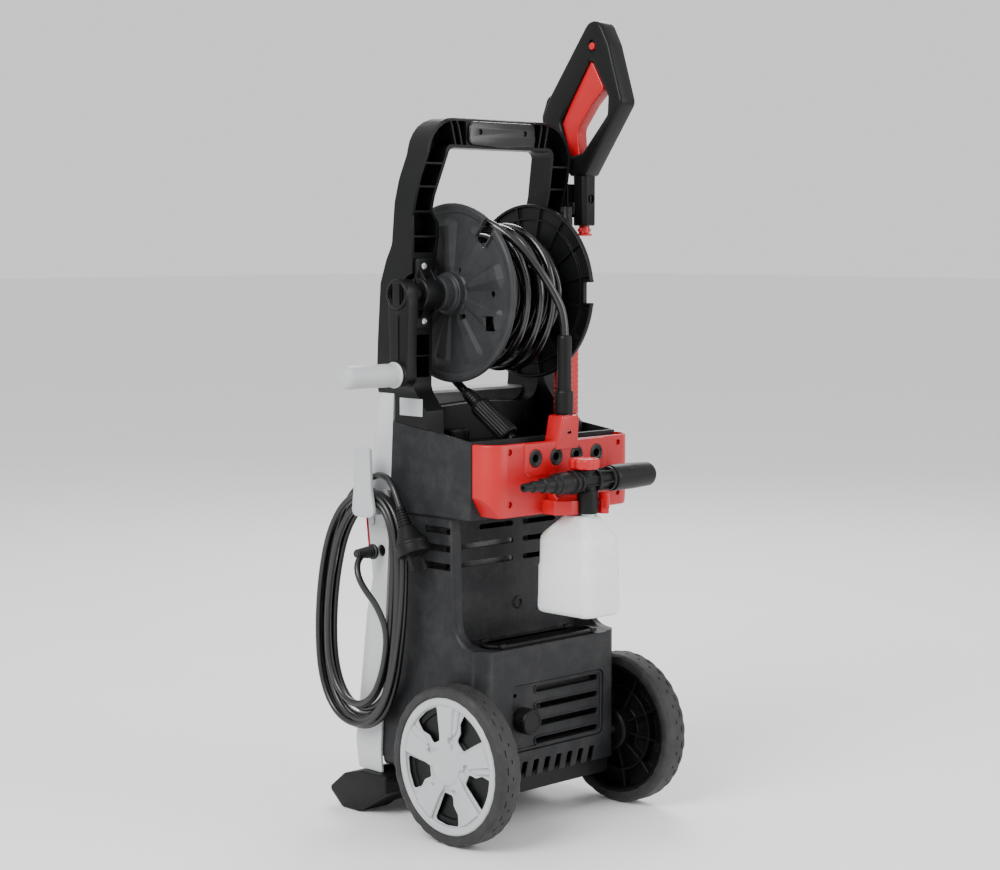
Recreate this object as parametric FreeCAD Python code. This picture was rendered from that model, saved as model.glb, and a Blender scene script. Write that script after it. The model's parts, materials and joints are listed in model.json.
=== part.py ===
import FreeCAD, Part
import math
import os

# Upright pressure washer with a hose reel. Millimetres, +Z up.
# Layout frame: X along the axle (+X is the crank side), +Y to the rear, Z from the floor.
# The axle line is at y = 0 and the mid-plane at x = 0; everything is shifted to the origin at the end.

V = FreeCAD.Vector

# ---- clearances --------------------------------------------------------------------------
GAP = 0.3                 # seat gap between pieces that touch
RUN = 0.05                # radial clearance of a running fit

# ---- wheels and axle ---------------------------------------------------------------------
WHEEL_R = 90.0
TYRE_W = 32.3
TYRE_T = 12.5             # radial thickness of the tyre
WHEEL_OUT = 153.0         # outer face of a tyre from the mid-plane
AXLE_R = 6.0
AXLE_TUBE_R = 10.0
HUB_R = 25.0
HUB_LEN = 26.0
HUB_REACH = 5.7          # how far the hub stands out of the tyre on the body side
CLIP_R = 10.0
CLIP_T = 2.0
COVER_T = 5.0
WHEEL_RIBS = 10
SPOKES = 5

# ---- body --------------------------------------------------------------------------------
WALL = 3.0
UPPER_HALF = 118.0        # half width of the upper block and the front cover
BODY_HALF = 114.0         # half width of the lower and middle body
BODY_BOTTOM = 60.0
REAR_Y = 17.0             # rear face of the lower block
SHELF_Z = 212.0           # top of the lower block
RECESS_Y = -40.0          # back wall of the bottle recess
UPPER_Z = 362.0           # underside of the upper block
HOLDER_FRONT = 4.0        # where the red holder begins
RIM_Z = 450.0             # rim of the upper block at the holder
RIM_RISE = 0.13           # rise of the rim per millimetre towards the front
LOWER_CORNER = 26.0
MIDDLE_CORNER = 16.0
SPLIT = [(-147.0, 50.0), (-149.0, 76.0), (-128.0, 410.0), (-123.0, 498.0)]

GRILLE_X = (-86.0, 66.0)
GRILLE_Z = (92.0, 170.0)
GRILLE_LAP = 4.0
GRILLE_SLOT_H = 6.0
GRILLE_SLOT_X = (-78.0, 26.0)
GRILLE_SLOT_Z = (101.0, 121.0, 141.0, 161.0)
FIN_GAP = 9.0
FIN_PITCH = 20.5
FIN_COUNT = 6
FIN_FIRST_X = 44.0
FIN_H = 17.0
VENT_H = 6.0
VENT_ROWS = ((346.5, 62.0), (326.5, 91.0), (305.5, 91.0))
VENT_MID = 7.5
SIDE_VENT_Y = (-75.0, -34.0)

BASKET_X = (-84.0, 84.0)
BASKET_Y = (-25.0, 9.5)
BASKET_DEPTH = 58.0
BASKET_WALL = 2.0

COVER_FRONT = [(51.0, -206.0), (81.0, -211.0), (160.0, -200.0), (236.0, -190.0),
               (279.0, -179.0), (347.0, -187.0), (430.0, -178.0), (466.0, -171.0), (498.0, -166.0)]
COVER_CORNER = 28.0
COVER_BULGE = 6.0
TRIM_T = 1.8
TRIM_GAP = 0.5
SWITCH_R = 27.3
SWITCH_Z = 400.0
SWITCH_FACE = -196.0

FOOT_HALF = 128.0
FOOT_FRONT = -233.0
FOOT_REAR = -129.0
FOOT_PAD = 46.0           # width of each foot pad
FOOT_ARCH = 10.0

DECK_T = 4.0
DECK_TOP = 440.0

# ---- handle frame ------------------------------------------------------------------------
FRAME_HALF = 121.0
FRAME_TOP = 811.0
FRAME_REAR = -88.0
FRAME_REAR_TOP = -68.0      # the top of the frame leans to the rear
FRAME_FRONT_TOP = -101.0
FRAME_CORNER = 44.0
LEG_REAR = -66.0
CROSS_REAR = -98.0
CROSS_Z = 480.0
GRIP_HALF = 54.0
GRIP_Z = (780.0, 808.0)
GRIP_T = 3.0
CHANNEL_WALL = 4.0        # walls of the open channel along the rear of the frame
CHANNEL_FRONT = 8.0
CHANNEL_LOW = 518.0
RIB_T = 2.5
RIB_HEIGHTS = (541.0, 676.0, 704.0, 732.0, 758.0)
RIB_SIDES = (66.0, 76.0)

# ---- reel --------------------------------------------------------------------------------
REEL_Y = -84.2
REEL_Z = 612.6
FLANGE_R = 102.7
FLANGE_IN = 60.0          # inner face of a flange from the mid-plane
FLANGE_T = 6.0
FLANGE_RIBS = 16
DRUM_R = 36.0
COIL_IN_R = 37.0
COIL_R = 84.0
COIL_HALF = 56.0
HUB_OUT = 90.0
REEL_HUB_R = 20.0
SHAFT_R = 8.0
BEARING_IN = 92.0
BEARING_OUT = 118.0
BEARING_R = 19.0
BRACKET_Z = 40.0          # half height of a bearing bracket
SCREW_X = 106.0
SCREW_RISE = 31.0
ARM_X = (129.0, 149.0)
ARM_R = 17.0
CRANK_R = 90.3
KNOB_R = 13.2
KNOB_X = (151.0, 227.0)
KNOB_PIN_R = 4.0

# ---- hose --------------------------------------------------------------------------------
HOSE_R = 4.75
OUTLET_Y = 34.0
SLEEVE_Z = 566.0
SLEEVE_R = 8.3
CONNECTOR_Z = (476.5, 504.0)
CONNECTOR_R = 10.5
NUT_R = 12.5
NUT_LEN = 56.0
RELIEF_LEN = 22.0
TIP_R = 5.0
TIP_LEN = 6.0

# ---- nozzle holder -----------------------------------------------------------------------
HOLDER_REAR = 36.0
HOLDER_HALF = 116.0
HOLDER_Z = (366.0, 448.0)
HOLDER_CORNER = 24.0
PAD_T = 2.0
SOCKET_X = (-49.5, -16.5, 16.5, 49.5)
SOCKET_Z = 430.0
SOCKET_R = 10.3
SOCKET_BORE = 4.6
SOCKET_LEN = 26.0
BUMP_TOP = 476.0

# ---- foam sprayer ------------------------------------------------------------------------
FOAM_Y = 71.0
FOAM_Z = 404.0
NECK_R = 10.0
BOTTLE_NECK_R = 8.0
COLLAR_R = 12.0
BOTTLE_Z = (252.0, 364.0)
BOTTLE_X = 30.0
BOTTLE_Y = (16.0, 99.0)
CLIP_Z = (366.0, 383.0)
DOSE_X = 6.0
DOSE_R = 17.5
DOSE_H = 12.0
TUBE_R = 15.0
FOAM_BORE = 8.5

# ---- gun and lance -----------------------------------------------------------------------
GUN_X = (-151.0, -125.0)
GUN_MID = -138.0
TRIGGER_W = 16.0
BARREL = (-66.0, 22.0)    # centre y and side
BARREL_Z = (690.0, 752.0)
BAYONET_R = 6.5
BAYONET_LEN = 12.0
PIVOT = (-76.0, 768.0)
PIVOT_R = 2.5
LOCK = (-42.0, 901.0)
LOCK_R = 5.5

LANCE = (-86.0, -46.0)
LANCE_R = 7.5
LANCE_Z = (372.0, 700.0)
LANCE_FLANGE_R = 17.0
LANCE_SLEEVE_R = 15.5
LANCE_SLEEVE_Z = (467.0, 546.0)
SOCKET_BOSS_R = 19.0
SOCKET_BOSS_TOP = 460.0

# ---- detergent tank, motor and pump ------------------------------------------------------
TANK_CAP = (60.0, -80.0)
TANK_NECK_R = 11.5
CAP_R = 15.0
CAP_H = 13.0
MOTOR_Y = -98.0
MOTOR_R = 44.0
MOTOR_Z = (192.0, 330.0)
ROTOR_R = 23.0
MOTOR_SHAFT_R = 6.0
PUMP_Z = (142.0, 190.0)
PUMP_R = 40.0
HEAD_Z = (104.0, 141.0)
PISTON_PCD_R = 22.0
WOBBLE_DEG = 7.0
INLET = (48.0, 129.0)
INLET_R = 11.0
INLET_BORE = 8.0
PLUG_KNOB_R = 15.0
PIPE_R = 5.0
PIPE_X = -55.0
PIPE_Z = 395.0
PIPE_RISE_Y = 22.0

# ---- power cord --------------------------------------------------------------------------
CORD_R = 3.75
GLAND = (-146.0, 314.0)
GLAND_OUT = 131.0
HOOK_ARM_Y = (-152.0, -133.0)
HOOK_ARM_Z = (358.0, 372.0)
HOOK_BLADE_X = (146.0, 151.0)
BUNDLE_X = (122.5, 145.0)
PLUG_R = 19.0
PIN_R = 2.4
PIN_SPACING = 19.0

# ---- origin: bottom centre of the machine without its cords ------------------------------
BASE_X = (KNOB_X[1] + GUN_X[0]) / 2
BASE_Y = (FOOT_FRONT + BOTTLE_Y[1]) / 2


# ---- drawing helpers ---------------------------------------------------------------------
def box(x, y, z):
    """Block between a low and a high value on each axis."""
    return Part.makeBox(x[1] - x[0], y[1] - y[0], z[1] - z[0], V(x[0], y[0], z[0]))


def place(axis, position, a, b):
    """Point at a position along an axis; a and b are the other two coordinates in order."""
    if axis == "X":
        return V(position, a, b)
    if axis == "Y":
        return V(a, position, b)
    return V(a, b, position)


def rod(axis, radius, centre, low, high):
    """Cylinder along an axis, around a centre line given by its other two coordinates."""
    direction = place(axis, 1.0, 0.0, 0.0)
    return Part.makeCylinder(radius, high - low, place(axis, low, *centre), direction)


def cone(axis, radii, centre, low, high):
    direction = place(axis, 1.0, 0.0, 0.0)
    return Part.makeCone(radii[0], radii[1], high - low, place(axis, low, *centre), direction)


def tube(axis, outer, inner, centre, low, high):
    return rod(axis, outer, centre, low, high).cut(rod(axis, inner, centre, low - 1, high + 1))


def outline(points, to_3d):
    """Closed wire through corners (a, b) or (a, b, radius), with arcs at the round corners."""
    ends = []
    count = len(points)
    for index, point in enumerate(points):
        corner = V(point[0], point[1], 0)
        radius = point[2] if len(point) > 2 else 0.0
        if radius == 0.0:
            ends.append((corner, None, corner))
            continue
        before = points[index - 1]
        after = points[(index + 1) % count]
        to_before = (V(before[0], before[1], 0) - corner).normalize()
        to_after = (V(after[0], after[1], 0) - corner).normalize()
        half = to_before.getAngle(to_after) / 2
        reach = radius / math.tan(half)
        bisector = (to_before + to_after).normalize()
        middle = corner + bisector * (radius / math.sin(half) - radius)
        ends.append((corner + to_before * reach, middle, corner + to_after * reach))
    edges = []
    for index, (start, middle, end) in enumerate(ends):
        if middle is not None:
            edges.append(Part.Arc(to_3d(start), to_3d(middle), to_3d(end)).toShape())
        following = ends[(index + 1) % count][0]
        if (following - end).Length > 1e-6:
            edges.append(Part.LineSegment(to_3d(end), to_3d(following)).toShape())
    return Part.Wire(edges)


def prism(axis, points, low, high):
    """Outline drawn across an axis and extruded along it between two positions."""
    face = Part.Face(outline(points, lambda p: place(axis, low, p.x, p.y)))
    return face.extrude(place(axis, high - low, 0.0, 0.0))


def rounded(a, b, radius):
    return [(a[0], b[0], radius), (a[1], b[0], radius), (a[1], b[1], radius), (a[0], b[1], radius)]


def mirrored(shape):
    return shape.mirror(V(0, 0, 0), V(1, 0, 0))


def fused(shapes):
    return shapes[0].fuse(shapes[1:]).removeSplitter()


def solid_between(start, end, radii):
    """Cylinder or cone between two points."""
    along = end - start
    if radii[0] == radii[1]:
        return Part.makeCylinder(radii[0], along.Length, start, along)
    return Part.makeCone(radii[0], radii[1], along.Length, start, along)


def cord_tube(name, points, radius):
    """Tube along straight runs joined by tangent arcs as large as the runs allow."""
    route = [V(*point) for point in points]
    edges = []
    radii = []
    start = route[0]
    for index in range(1, len(route) - 1):
        corner = route[index]
        back = route[index - 1] - corner
        ahead = route[index + 1] - corner
        turn = math.pi - back.getAngle(ahead)
        reach = 0.45 * min(back.Length, ahead.Length)
        arc_radius = reach / math.tan(turn / 2)
        radii.append(arc_radius)
        back.normalize()
        ahead.normalize()
        bisector = (back + ahead).normalize()
        sagitta = arc_radius / math.cos(turn / 2) - arc_radius
        first = corner + back * reach
        last = corner + ahead * reach
        edges.append(Part.LineSegment(start, first).toShape())
        edges.append(Part.Arc(first, corner + bisector * sagitta, last).toShape())
        start = last
    edges.append(Part.LineSegment(start, route[-1]).toShape())
    path = Part.Wire(edges)
    direction = route[1] - route[0]
    section = Part.Wire([Part.Circle(route[0], direction, radius).toShape()])
    solid = path.makePipeShell([section], True, False)
    expected = math.pi * radius ** 2 * path.Length
    print(name, "radii", [round(value) for value in radii], "length", round(path.Length),
          "volume ratio", round(solid.Volume / expected, 4))
    return solid


# ---- body --------------------------------------------------------------------------------
def split_y(z):
    """Position of the joint between the front cover and the rear housing at a height."""
    for (y0, z0), (y1, z1) in zip(SPLIT, SPLIT[1:]):
        if z <= z1:
            return y0 + (y1 - y0) * (z - z0) / (z1 - z0)
    return SPLIT[-1][0]


def rim_z(y):
    return RIM_Z + (HOLDER_FRONT - y) * RIM_RISE


def behind_split(shift):
    """Everything behind the joint line, shifted back by a clearance."""
    points = [(y + shift, z) for y, z in SPLIT]
    low = (points[0][0], 0.0)
    high = (points[-1][0], 900.0)
    return prism("X", [low] + points + [high, (200.0, 900.0), (200.0, 0.0)], -200.0, 200.0)


def housing_mass(inset, top):
    """Lower block, middle and upper block of the rear housing, all drawn in by an inset."""
    half = BODY_HALF - inset
    front = -170.0
    low_profile = [(front, BODY_BOTTOM - inset * 3), (13.0 - inset, BODY_BOTTOM - inset * 3),
                   (REAR_Y - inset, 86.0), (REAR_Y - inset, SHELF_Z - inset, 3.0),
                   (-30.5 - inset, SHELF_Z + 3.0 - inset, 8.0),
                   (RECESS_Y - inset, SHELF_Z + 22.0, 12.0), (front, SHELF_Z + 22.0)]
    plan_low = rounded((-half, half), (front - 60.0, REAR_Y - inset), LOWER_CORNER - inset)
    plan_mid = rounded((-half, half), (front - 60.0, RECESS_Y - inset), MIDDLE_CORNER - inset)
    lower = prism("X", low_profile, -half, half).common(prism("Z", plan_low, 0.0, 300.0))
    middle = prism("Z", plan_mid, SHELF_Z, UPPER_Z + 4.0 + inset)
    rear = HOLDER_FRONT - inset
    upper_profile = [(front, UPPER_Z + inset), (rear, UPPER_Z + inset), (rear, rim_z(rear) + top),
                     (front, rim_z(front) + top)]
    upper = prism("X", upper_profile, -UPPER_HALF + inset, UPPER_HALF - inset)
    return fused([lower, middle, upper])


def stadium(x, y):
    radius = (y[1] - y[0]) / 2 - 0.01
    return rounded(x, y, radius)


def slots_through(axis, ranges, span):
    """Round-ended slots, each ((low, high) across, centre height), cut through a span."""
    cutters = []
    for across, height, thickness in ranges:
        pair = (height - thickness / 2, height + thickness / 2)
        cutters.append(prism(axis, rounded(across, pair, thickness / 2 - 0.01), span[0], span[1]))
    return cutters


def rear_housing():
    shell = housing_mass(0.0, 0.0).cut(housing_mass(WALL, 60.0)).common(behind_split(0.0))
    cuts = [prism("Z", stadium(BASKET_X, BASKET_Y), SHELF_Z - 20.0, SHELF_Z + 20.0)]
    cuts.append(prism("Y", rounded(GRILLE_X, GRILLE_Z, 8.0), 5.0, REAR_Y + 5.0))
    for index in range(FIN_COUNT):
        x = FIN_FIRST_X - index * FIN_PITCH
        cuts.append(box((x - FIN_GAP / 2, x + FIN_GAP / 2), (4.0, REAR_Y + 5.0),
                        (BODY_BOTTOM - 5.0, BODY_BOTTOM + FIN_H)))
    vents = []
    for height, reach in VENT_ROWS:
        vents.append(((VENT_MID, reach), height, VENT_H))
        vents.append(((-reach, -VENT_MID), height, VENT_H))
    cuts += slots_through("Y", vents, (RECESS_Y - WALL - 2.0, RECESS_Y + 2.0))
    for height, _ in VENT_ROWS:
        for side in (-1, 1):
            edges = sorted((side * (BODY_HALF - 9.0), side * (BODY_HALF + 2.0)))
            cuts.append(box(edges, SIDE_VENT_Y, (height - 4.0, height + 4.0)))
    cuts.append(rod("X", AXLE_R + 1.0, (0.0, WHEEL_R), -130.0, 130.0))
    cuts.append(rod("Y", PIPE_R + 2.0, (0.0, PIPE_Z), -10.0, 10.0))
    shell = shell.cut(cuts)
    boss = rod("Y", 7.0, (0.0, 252.5), RECESS_Y - 1.0, RECESS_Y + 3.0)
    recess = rod("Y", 4.2, (0.0, 252.5), RECESS_Y, RECESS_Y + 4.0)
    return shell.fuse(boss).cut(recess).removeSplitter()


def cover_section(z, front, inset):
    """Plan of the front cover at one height: flat sides, round corners and a bowed front."""
    half = UPPER_HALF - inset
    radius = COVER_CORNER - inset
    rear = -100.0
    face = front + inset
    nose = face - COVER_BULGE
    diagonal = radius * (1 - math.sqrt(0.5))
    points = [V(half, rear, z), V(half, face + radius, z), V(half - diagonal, face + diagonal, z),
              V(half - radius, face, z), V(0, nose, z), V(radius - half, face, z),
              V(diagonal - half, face + diagonal, z), V(-half, face + radius, z), V(-half, rear, z)]
    return Part.Wire([Part.LineSegment(points[0], points[1]).toShape(),
                      Part.Arc(points[1], points[2], points[3]).toShape(),
                      Part.Arc(points[3], points[4], points[5]).toShape(),
                      Part.Arc(points[5], points[6], points[7]).toShape(),
                      Part.LineSegment(points[7], points[8]).toShape(),
                      Part.LineSegment(points[8], points[0]).toShape()])


def cover_mass(inset, low, high):
    """Solid nose of the machine between two heights, drawn in by an inset."""
    sections = []
    for z, front in COVER_FRONT:
        sections.append(cover_section(z, front, inset))
    nose = Part.makeLoft(sections, True, True)
    return nose.common(box((-200.0, 200.0), (-300.0, 0.0), (low, high)))


def front_cover():
    top = COVER_FRONT[-1][0]
    bottom = COVER_FRONT[0][0]
    shell = cover_mass(0.0, bottom, top).cut(cover_mass(WALL, bottom - 5.0, top - WALL))
    shell = shell.cut(behind_split(-GAP))
    shell = shell.cut(rod("Y", SWITCH_R, (0.0, SWITCH_Z), -250.0, -150.0))
    return shell.cut(rod("X", 7.0, GLAND, 100.0, 130.0))


def front_trim():
    band = [(-112.0, 303.0), (-112.0, 353.0), (-60.0, 345.0, 10.0), (60.0, 345.0, 10.0),
            (112.0, 353.0), (112.0, 303.0), (48.0, 262.0, 12.0), (-48.0, 262.0, 12.0)]
    skin = cover_mass(-TRIM_T - TRIM_GAP, 200.0, 400.0).cut(cover_mass(-TRIM_GAP, 190.0, 410.0))
    region = prism("Y", band, -300.0, -150.0)
    return skin.common(region)


def power_switch():
    """Switch box behind the cover with the round bezel that comes through it."""
    case = box((-30.0, 30.0), (-176.0, -150.0), (368.0, 432.0))
    ring = rod("Y", SWITCH_R - GAP, (0.0, SWITCH_Z), SWITCH_FACE, -175.0)
    pocket = rod("Y", SWITCH_R - 7.0, (0.0, SWITCH_Z), SWITCH_FACE - 1.0, SWITCH_FACE + 14.0)
    stem = rod("Y", 5.0 + RUN, (0.0, SWITCH_Z), SWITCH_FACE, SWITCH_FACE + 22.0)
    return case.fuse(ring).cut(pocket.fuse(stem))


def switch_knob():
    floor = SWITCH_FACE + 14.0 - GAP
    knob = rod("Y", SWITCH_R - 9.0, (0.0, SWITCH_Z), SWITCH_FACE - 10.0, floor)
    grip = box((-4.0, 4.0), (SWITCH_FACE - 16.0, SWITCH_FACE - 9.0), (SWITCH_Z - 16.0, SWITCH_Z + 16.0))
    stem = rod("Y", 5.0, (0.0, SWITCH_Z), floor - 1.0, floor + 7.0)
    return fused([knob, grip, stem])


def base_chassis():
    half = BODY_HALF - WALL - GAP
    tray = box((-half, half), (FOOT_REAR + GAP, 6.0), (42.0, BODY_BOTTOM + 4.0))
    room = box((4.0 - half, half - 4.0), (FOOT_REAR + GAP + 4.0, 2.0), (46.0, BODY_BOTTOM + 9.0))
    tray = tray.cut(room)
    sleeve = rod("X", AXLE_TUBE_R, (0.0, WHEEL_R), -half, half)
    webs = []
    for x in (-half, -50.0, 44.0, half - 6.0):
        webs.append(box((x, x + 6.0), (-9.0, 6.0), (44.0, WHEEL_R - 2.0)))
    stand = box((-50.0, 50.0), (MOTOR_Y - 26.0, MOTOR_Y + 26.0), (45.0, HEAD_Z[0] - GAP))
    stand = stand.cut(box((-46.0, 46.0), (MOTOR_Y - 40.0, MOTOR_Y + 40.0), (46.0, HEAD_Z[0] - 4.0)))
    plan = rounded((-half, half), (FOOT_REAR - 60.0, REAR_Y - WALL - GAP), LOWER_CORNER - WALL - GAP)
    chassis = fused([tray, sleeve, stand] + webs).common(prism("Z", plan, 0.0, 300.0))
    return chassis.cut(rod("X", AXLE_R + RUN, (0.0, WHEEL_R), -half - 1, half + 1))


def foot_bar():
    profile = [(FOOT_FRONT, 20.0, 5.0), (-209.0, 0.0, 8.0), (-178.0, 0.0, 8.0), (FOOT_REAR, 30.0),
               (FOOT_REAR, 50.5), (-174.0, 50.5, 10.0), (-205.0, 42.0, 10.0)]
    bar = prism("X", profile, -FOOT_HALF, FOOT_HALF)
    inner = FOOT_HALF - FOOT_PAD
    return bar.cut(box((-inner, inner), (-260.0, -100.0), (-5.0, FOOT_ARCH)))


def rear_grille():
    x = (GRILLE_X[0] - GRILLE_LAP, GRILLE_X[1] + GRILLE_LAP)
    z = (GRILLE_Z[0] - GRILLE_LAP, GRILLE_Z[1] + GRILLE_LAP)
    back = REAR_Y - WALL - GAP
    panel = prism("Y", rounded(x, z, 8.0), back - 3.0, back)
    slots = [(GRILLE_SLOT_X, height, GRILLE_SLOT_H) for height in GRILLE_SLOT_Z]
    cuts = slots_through("Y", slots, (0.0, 20.0))
    cuts.append(rod("Y", INLET_R + GAP, INLET, 0.0, 20.0))
    cuts.append(rod("Y", 2.5, (58.0, 158.0), 0.0, 20.0))
    return panel.cut(cuts)


def bottle_basket():
    top = SHELF_Z + 4.0
    inner_x = (BASKET_X[0] + GAP, BASKET_X[1] - GAP)
    inner_y = (BASKET_Y[0] + GAP, BASKET_Y[1] - GAP)
    cup = prism("Z", stadium(inner_x, inner_y), SHELF_Z - BASKET_DEPTH, top + 1.8)
    wall = BASKET_WALL
    room = stadium((inner_x[0] + wall, inner_x[1] - wall), (inner_y[0] + wall, inner_y[1] - wall))
    lip = stadium((BASKET_X[0] - 3.0, BASKET_X[1] + 3.0), (BASKET_Y[0] - 3.0, BASKET_Y[1] + 3.0))
    cup = cup.fuse(prism("Z", lip, top, top + 1.8))
    return cup.cut(prism("Z", room, SHELF_Z - BASKET_DEPTH + wall, top + 5.0))


def top_deck():
    half = UPPER_HALF - WALL - GAP
    rear = HOLDER_FRONT - WALL - GAP
    plate = box((-half, half), (-121.0, rear), (DECK_TOP - DECK_T, DECK_TOP))
    rim = box((-half, half), (LEG_REAR + 2.0, rear), (DECK_TOP - 1.0, DECK_TOP + 3.0))
    rim = rim.cut(box((4.0 - half, half - 4.0), (LEG_REAR, rear - 4.0), (DECK_TOP - 5.0, DECK_TOP + 5.0)))
    boss = tube("Z", CAP_R + 2.5, CAP_R + 0.5, TANK_CAP, DECK_TOP - 1.0, DECK_TOP + 2.0)
    socket = rod("Z", SOCKET_BOSS_R, LANCE, DECK_TOP - 1.0, SOCKET_BOSS_TOP)
    deck = fused([plate, rim, boss, socket])
    deck = deck.cut(rod("Z", LANCE_R + GAP, LANCE, 400.0, 500.0))
    return deck.cut(rod("Z", TANK_NECK_R + GAP, TANK_CAP, 400.0, 500.0))


# ---- handle frame ------------------------------------------------------------------------
def frame_view(inset):
    """Rear view of the handle frame's outside, drawn in by an inset."""
    half = FRAME_HALF - inset
    foot = UPPER_HALF - inset
    right = [(half - 12.0, FRAME_TOP - inset, FRAME_CORNER - inset), (half, 742.0, 80.0), (half, 508.0),
             (foot, 500.0), (foot, DECK_TOP + GAP)]
    left = [(-x, *rest) for x, *rest in reversed(right)]
    return left + right


def frame_gap(grow):
    """Rear view of the opening inside the handle frame, grown outwards by a wall."""
    left = [(-92.0, CROSS_Z, 24.0), (-91.0, 560.0), (-88.0, 628.0), (-79.0, 680.0, 8.0), (-80.0, 694.0, 8.0),
            (-91.0, 706.0, 6.0), (-90.7, 724.0, 10.0), (-82.0, 777.0, 9.0)]
    left = [(x - grow, z + (grow if z > 770.0 else 0.0), *rest) for x, z, *rest in left]
    right = [(-x, *rest) for x, *rest in reversed(left)]
    return left + right + [(0.0, CROSS_Z + 5.0)]


def frame_side(shift):
    """Side view of the handle frame, with its front moved to the rear by a shift."""
    top = FRAME_TOP + 2.0
    return [(-121.0 + shift, DECK_TOP + GAP), (-121.0 + shift, 498.0 + GAP), (-150.0 + shift, 498.0 + GAP),
            (-147.0 + shift, 560.0, 60.0), (-142.0 + shift, 624.0, 14.0), (-132.0 + shift, 650.0, 14.0),
            (-122.0 + shift, 668.0, 20.0), (-117.0 + shift, 716.0, 40.0), (FRAME_FRONT_TOP + shift, 770.0, 20.0),
            (FRAME_FRONT_TOP + shift, top, 12.0), (FRAME_REAR_TOP, top, 12.0), (FRAME_REAR_TOP, 770.0, 20.0),
            (-84.0, 716.0, 6.0), (FRAME_REAR, 700.0, 6.0), (FRAME_REAR, 504.0, 22.0),
            (LEG_REAR - 2.0, 480.0, 6.0), (LEG_REAR, DECK_TOP + GAP)]


def frame_channel():
    """Channel open to the rear along both posts and the top, between its ribs."""
    ring = prism("Y", frame_view(CHANNEL_WALL), -160.0, -50.0).cut(prism("Y", frame_gap(CHANNEL_WALL), -161.0, -49.0))
    view = frame_side(CHANNEL_FRONT)
    view = [(y + (8.0 if y > FRAME_FRONT_TOP + CHANNEL_FRONT + 1.0 and z > 504.0 else 0.0), z, *rest)
            for y, z, *rest in view]
    channel = ring.common(prism("X", view, -130.0, 130.0))
    channel = channel.common(box((-130.0, 130.0), (-160.0, -40.0), (CHANNEL_LOW, FRAME_TOP)))
    kept = [box((-130.0, 130.0), (-160.0, -40.0), (REEL_Z - BRACKET_Z - 6.0, REEL_Z + BRACKET_Z + 6.0)),
            box((-GRIP_HALF - 2.0, GRIP_HALF + 2.0), (-160.0, -40.0), (770.0, 820.0))]
    for z in RIB_HEIGHTS:
        kept.append(box((-130.0, 130.0), (-160.0, -40.0), (z, z + RIB_T)))
    for x in RIB_SIDES:
        for side in (-1, 1):
            low = side * x - RIB_T / 2
            kept.append(box((low, low + RIB_T), (-160.0, -40.0), (778.0, 820.0)))
    return channel.cut(kept)


def handle_frame():
    half = FRAME_HALF
    frame = prism("Y", frame_view(0.0), -160.0, -50.0).cut(prism("Y", frame_gap(0.0), -161.0, -49.0))
    frame = frame.common(prism("X", frame_side(0.0), -130.0, 130.0))
    cuts = [box((-92.0, 92.0), (CROSS_REAR, -50.0), (400.0, CROSS_Z + 30.0)), frame_channel()]
    for side in (-1, 1):
        outer = sorted((side * (UPPER_HALF - WALL - GAP), side * (half + 5.0)))
        notch = [(-160.0, DECK_TOP), (-160.0, rim_z(-160.0) + GAP), (-60.0, rim_z(-60.0) + GAP),
                 (-60.0, DECK_TOP)]
        cuts.append(prism("X", notch, outer[0], outer[1]))
        span = sorted((side * 70.0, side * 130.0))
        cuts.append(rod("X", REEL_HUB_R + 3.0, (REEL_Y, REEL_Z), span[0], span[1]))
    return frame.cut(cuts)


def grip_insert():
    face = rounded((-GRIP_HALF, GRIP_HALF), GRIP_Z, 8.0)
    plate = prism("Y", face, FRAME_REAR_TOP + 0.1, FRAME_REAR_TOP + GRIP_T)
    for x in (-36.0, 36.0):
        plate = plate.cut(rod("Y", 3.0, (x, 796.0), FRAME_REAR_TOP, FRAME_REAR_TOP + 5.0))
    return plate


def bearing_brackets():
    """Plate and sleeve on the rear of each post that carry the reel shaft."""
    height = (REEL_Z - BRACKET_Z, REEL_Z + BRACKET_Z)
    plate = box((BEARING_IN + 1.0, BEARING_OUT), (FRAME_REAR + GAP, FRAME_REAR + 4.0), height)
    sleeve = rod("X", BEARING_R, (REEL_Y, REEL_Z), BEARING_IN, BEARING_OUT)
    bracket = plate.fuse(sleeve).cut(rod("X", SHAFT_R + RUN, (REEL_Y, REEL_Z), 80.0, 130.0))
    for z in (REEL_Z - SCREW_RISE, REEL_Z + SCREW_RISE):
        bracket = bracket.cut(rod("Y", 2.3, (SCREW_X, z), -100.0, -70.0))
    return Part.makeCompound([bracket, mirrored(bracket)])


def bracket_screws():
    screws = []
    for side in (-1, 1):
        for z in (REEL_Z - SCREW_RISE, REEL_Z + SCREW_RISE):
            head = rod("Y", 4.2, (side * SCREW_X, z), FRAME_REAR + 4.0, FRAME_REAR + 6.2)
            shank = rod("Y", 2.2, (side * SCREW_X, z), FRAME_REAR + GAP, FRAME_REAR + 4.5)
            screws.append(head.fuse(shank))
    return Part.makeCompound(screws)


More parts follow.
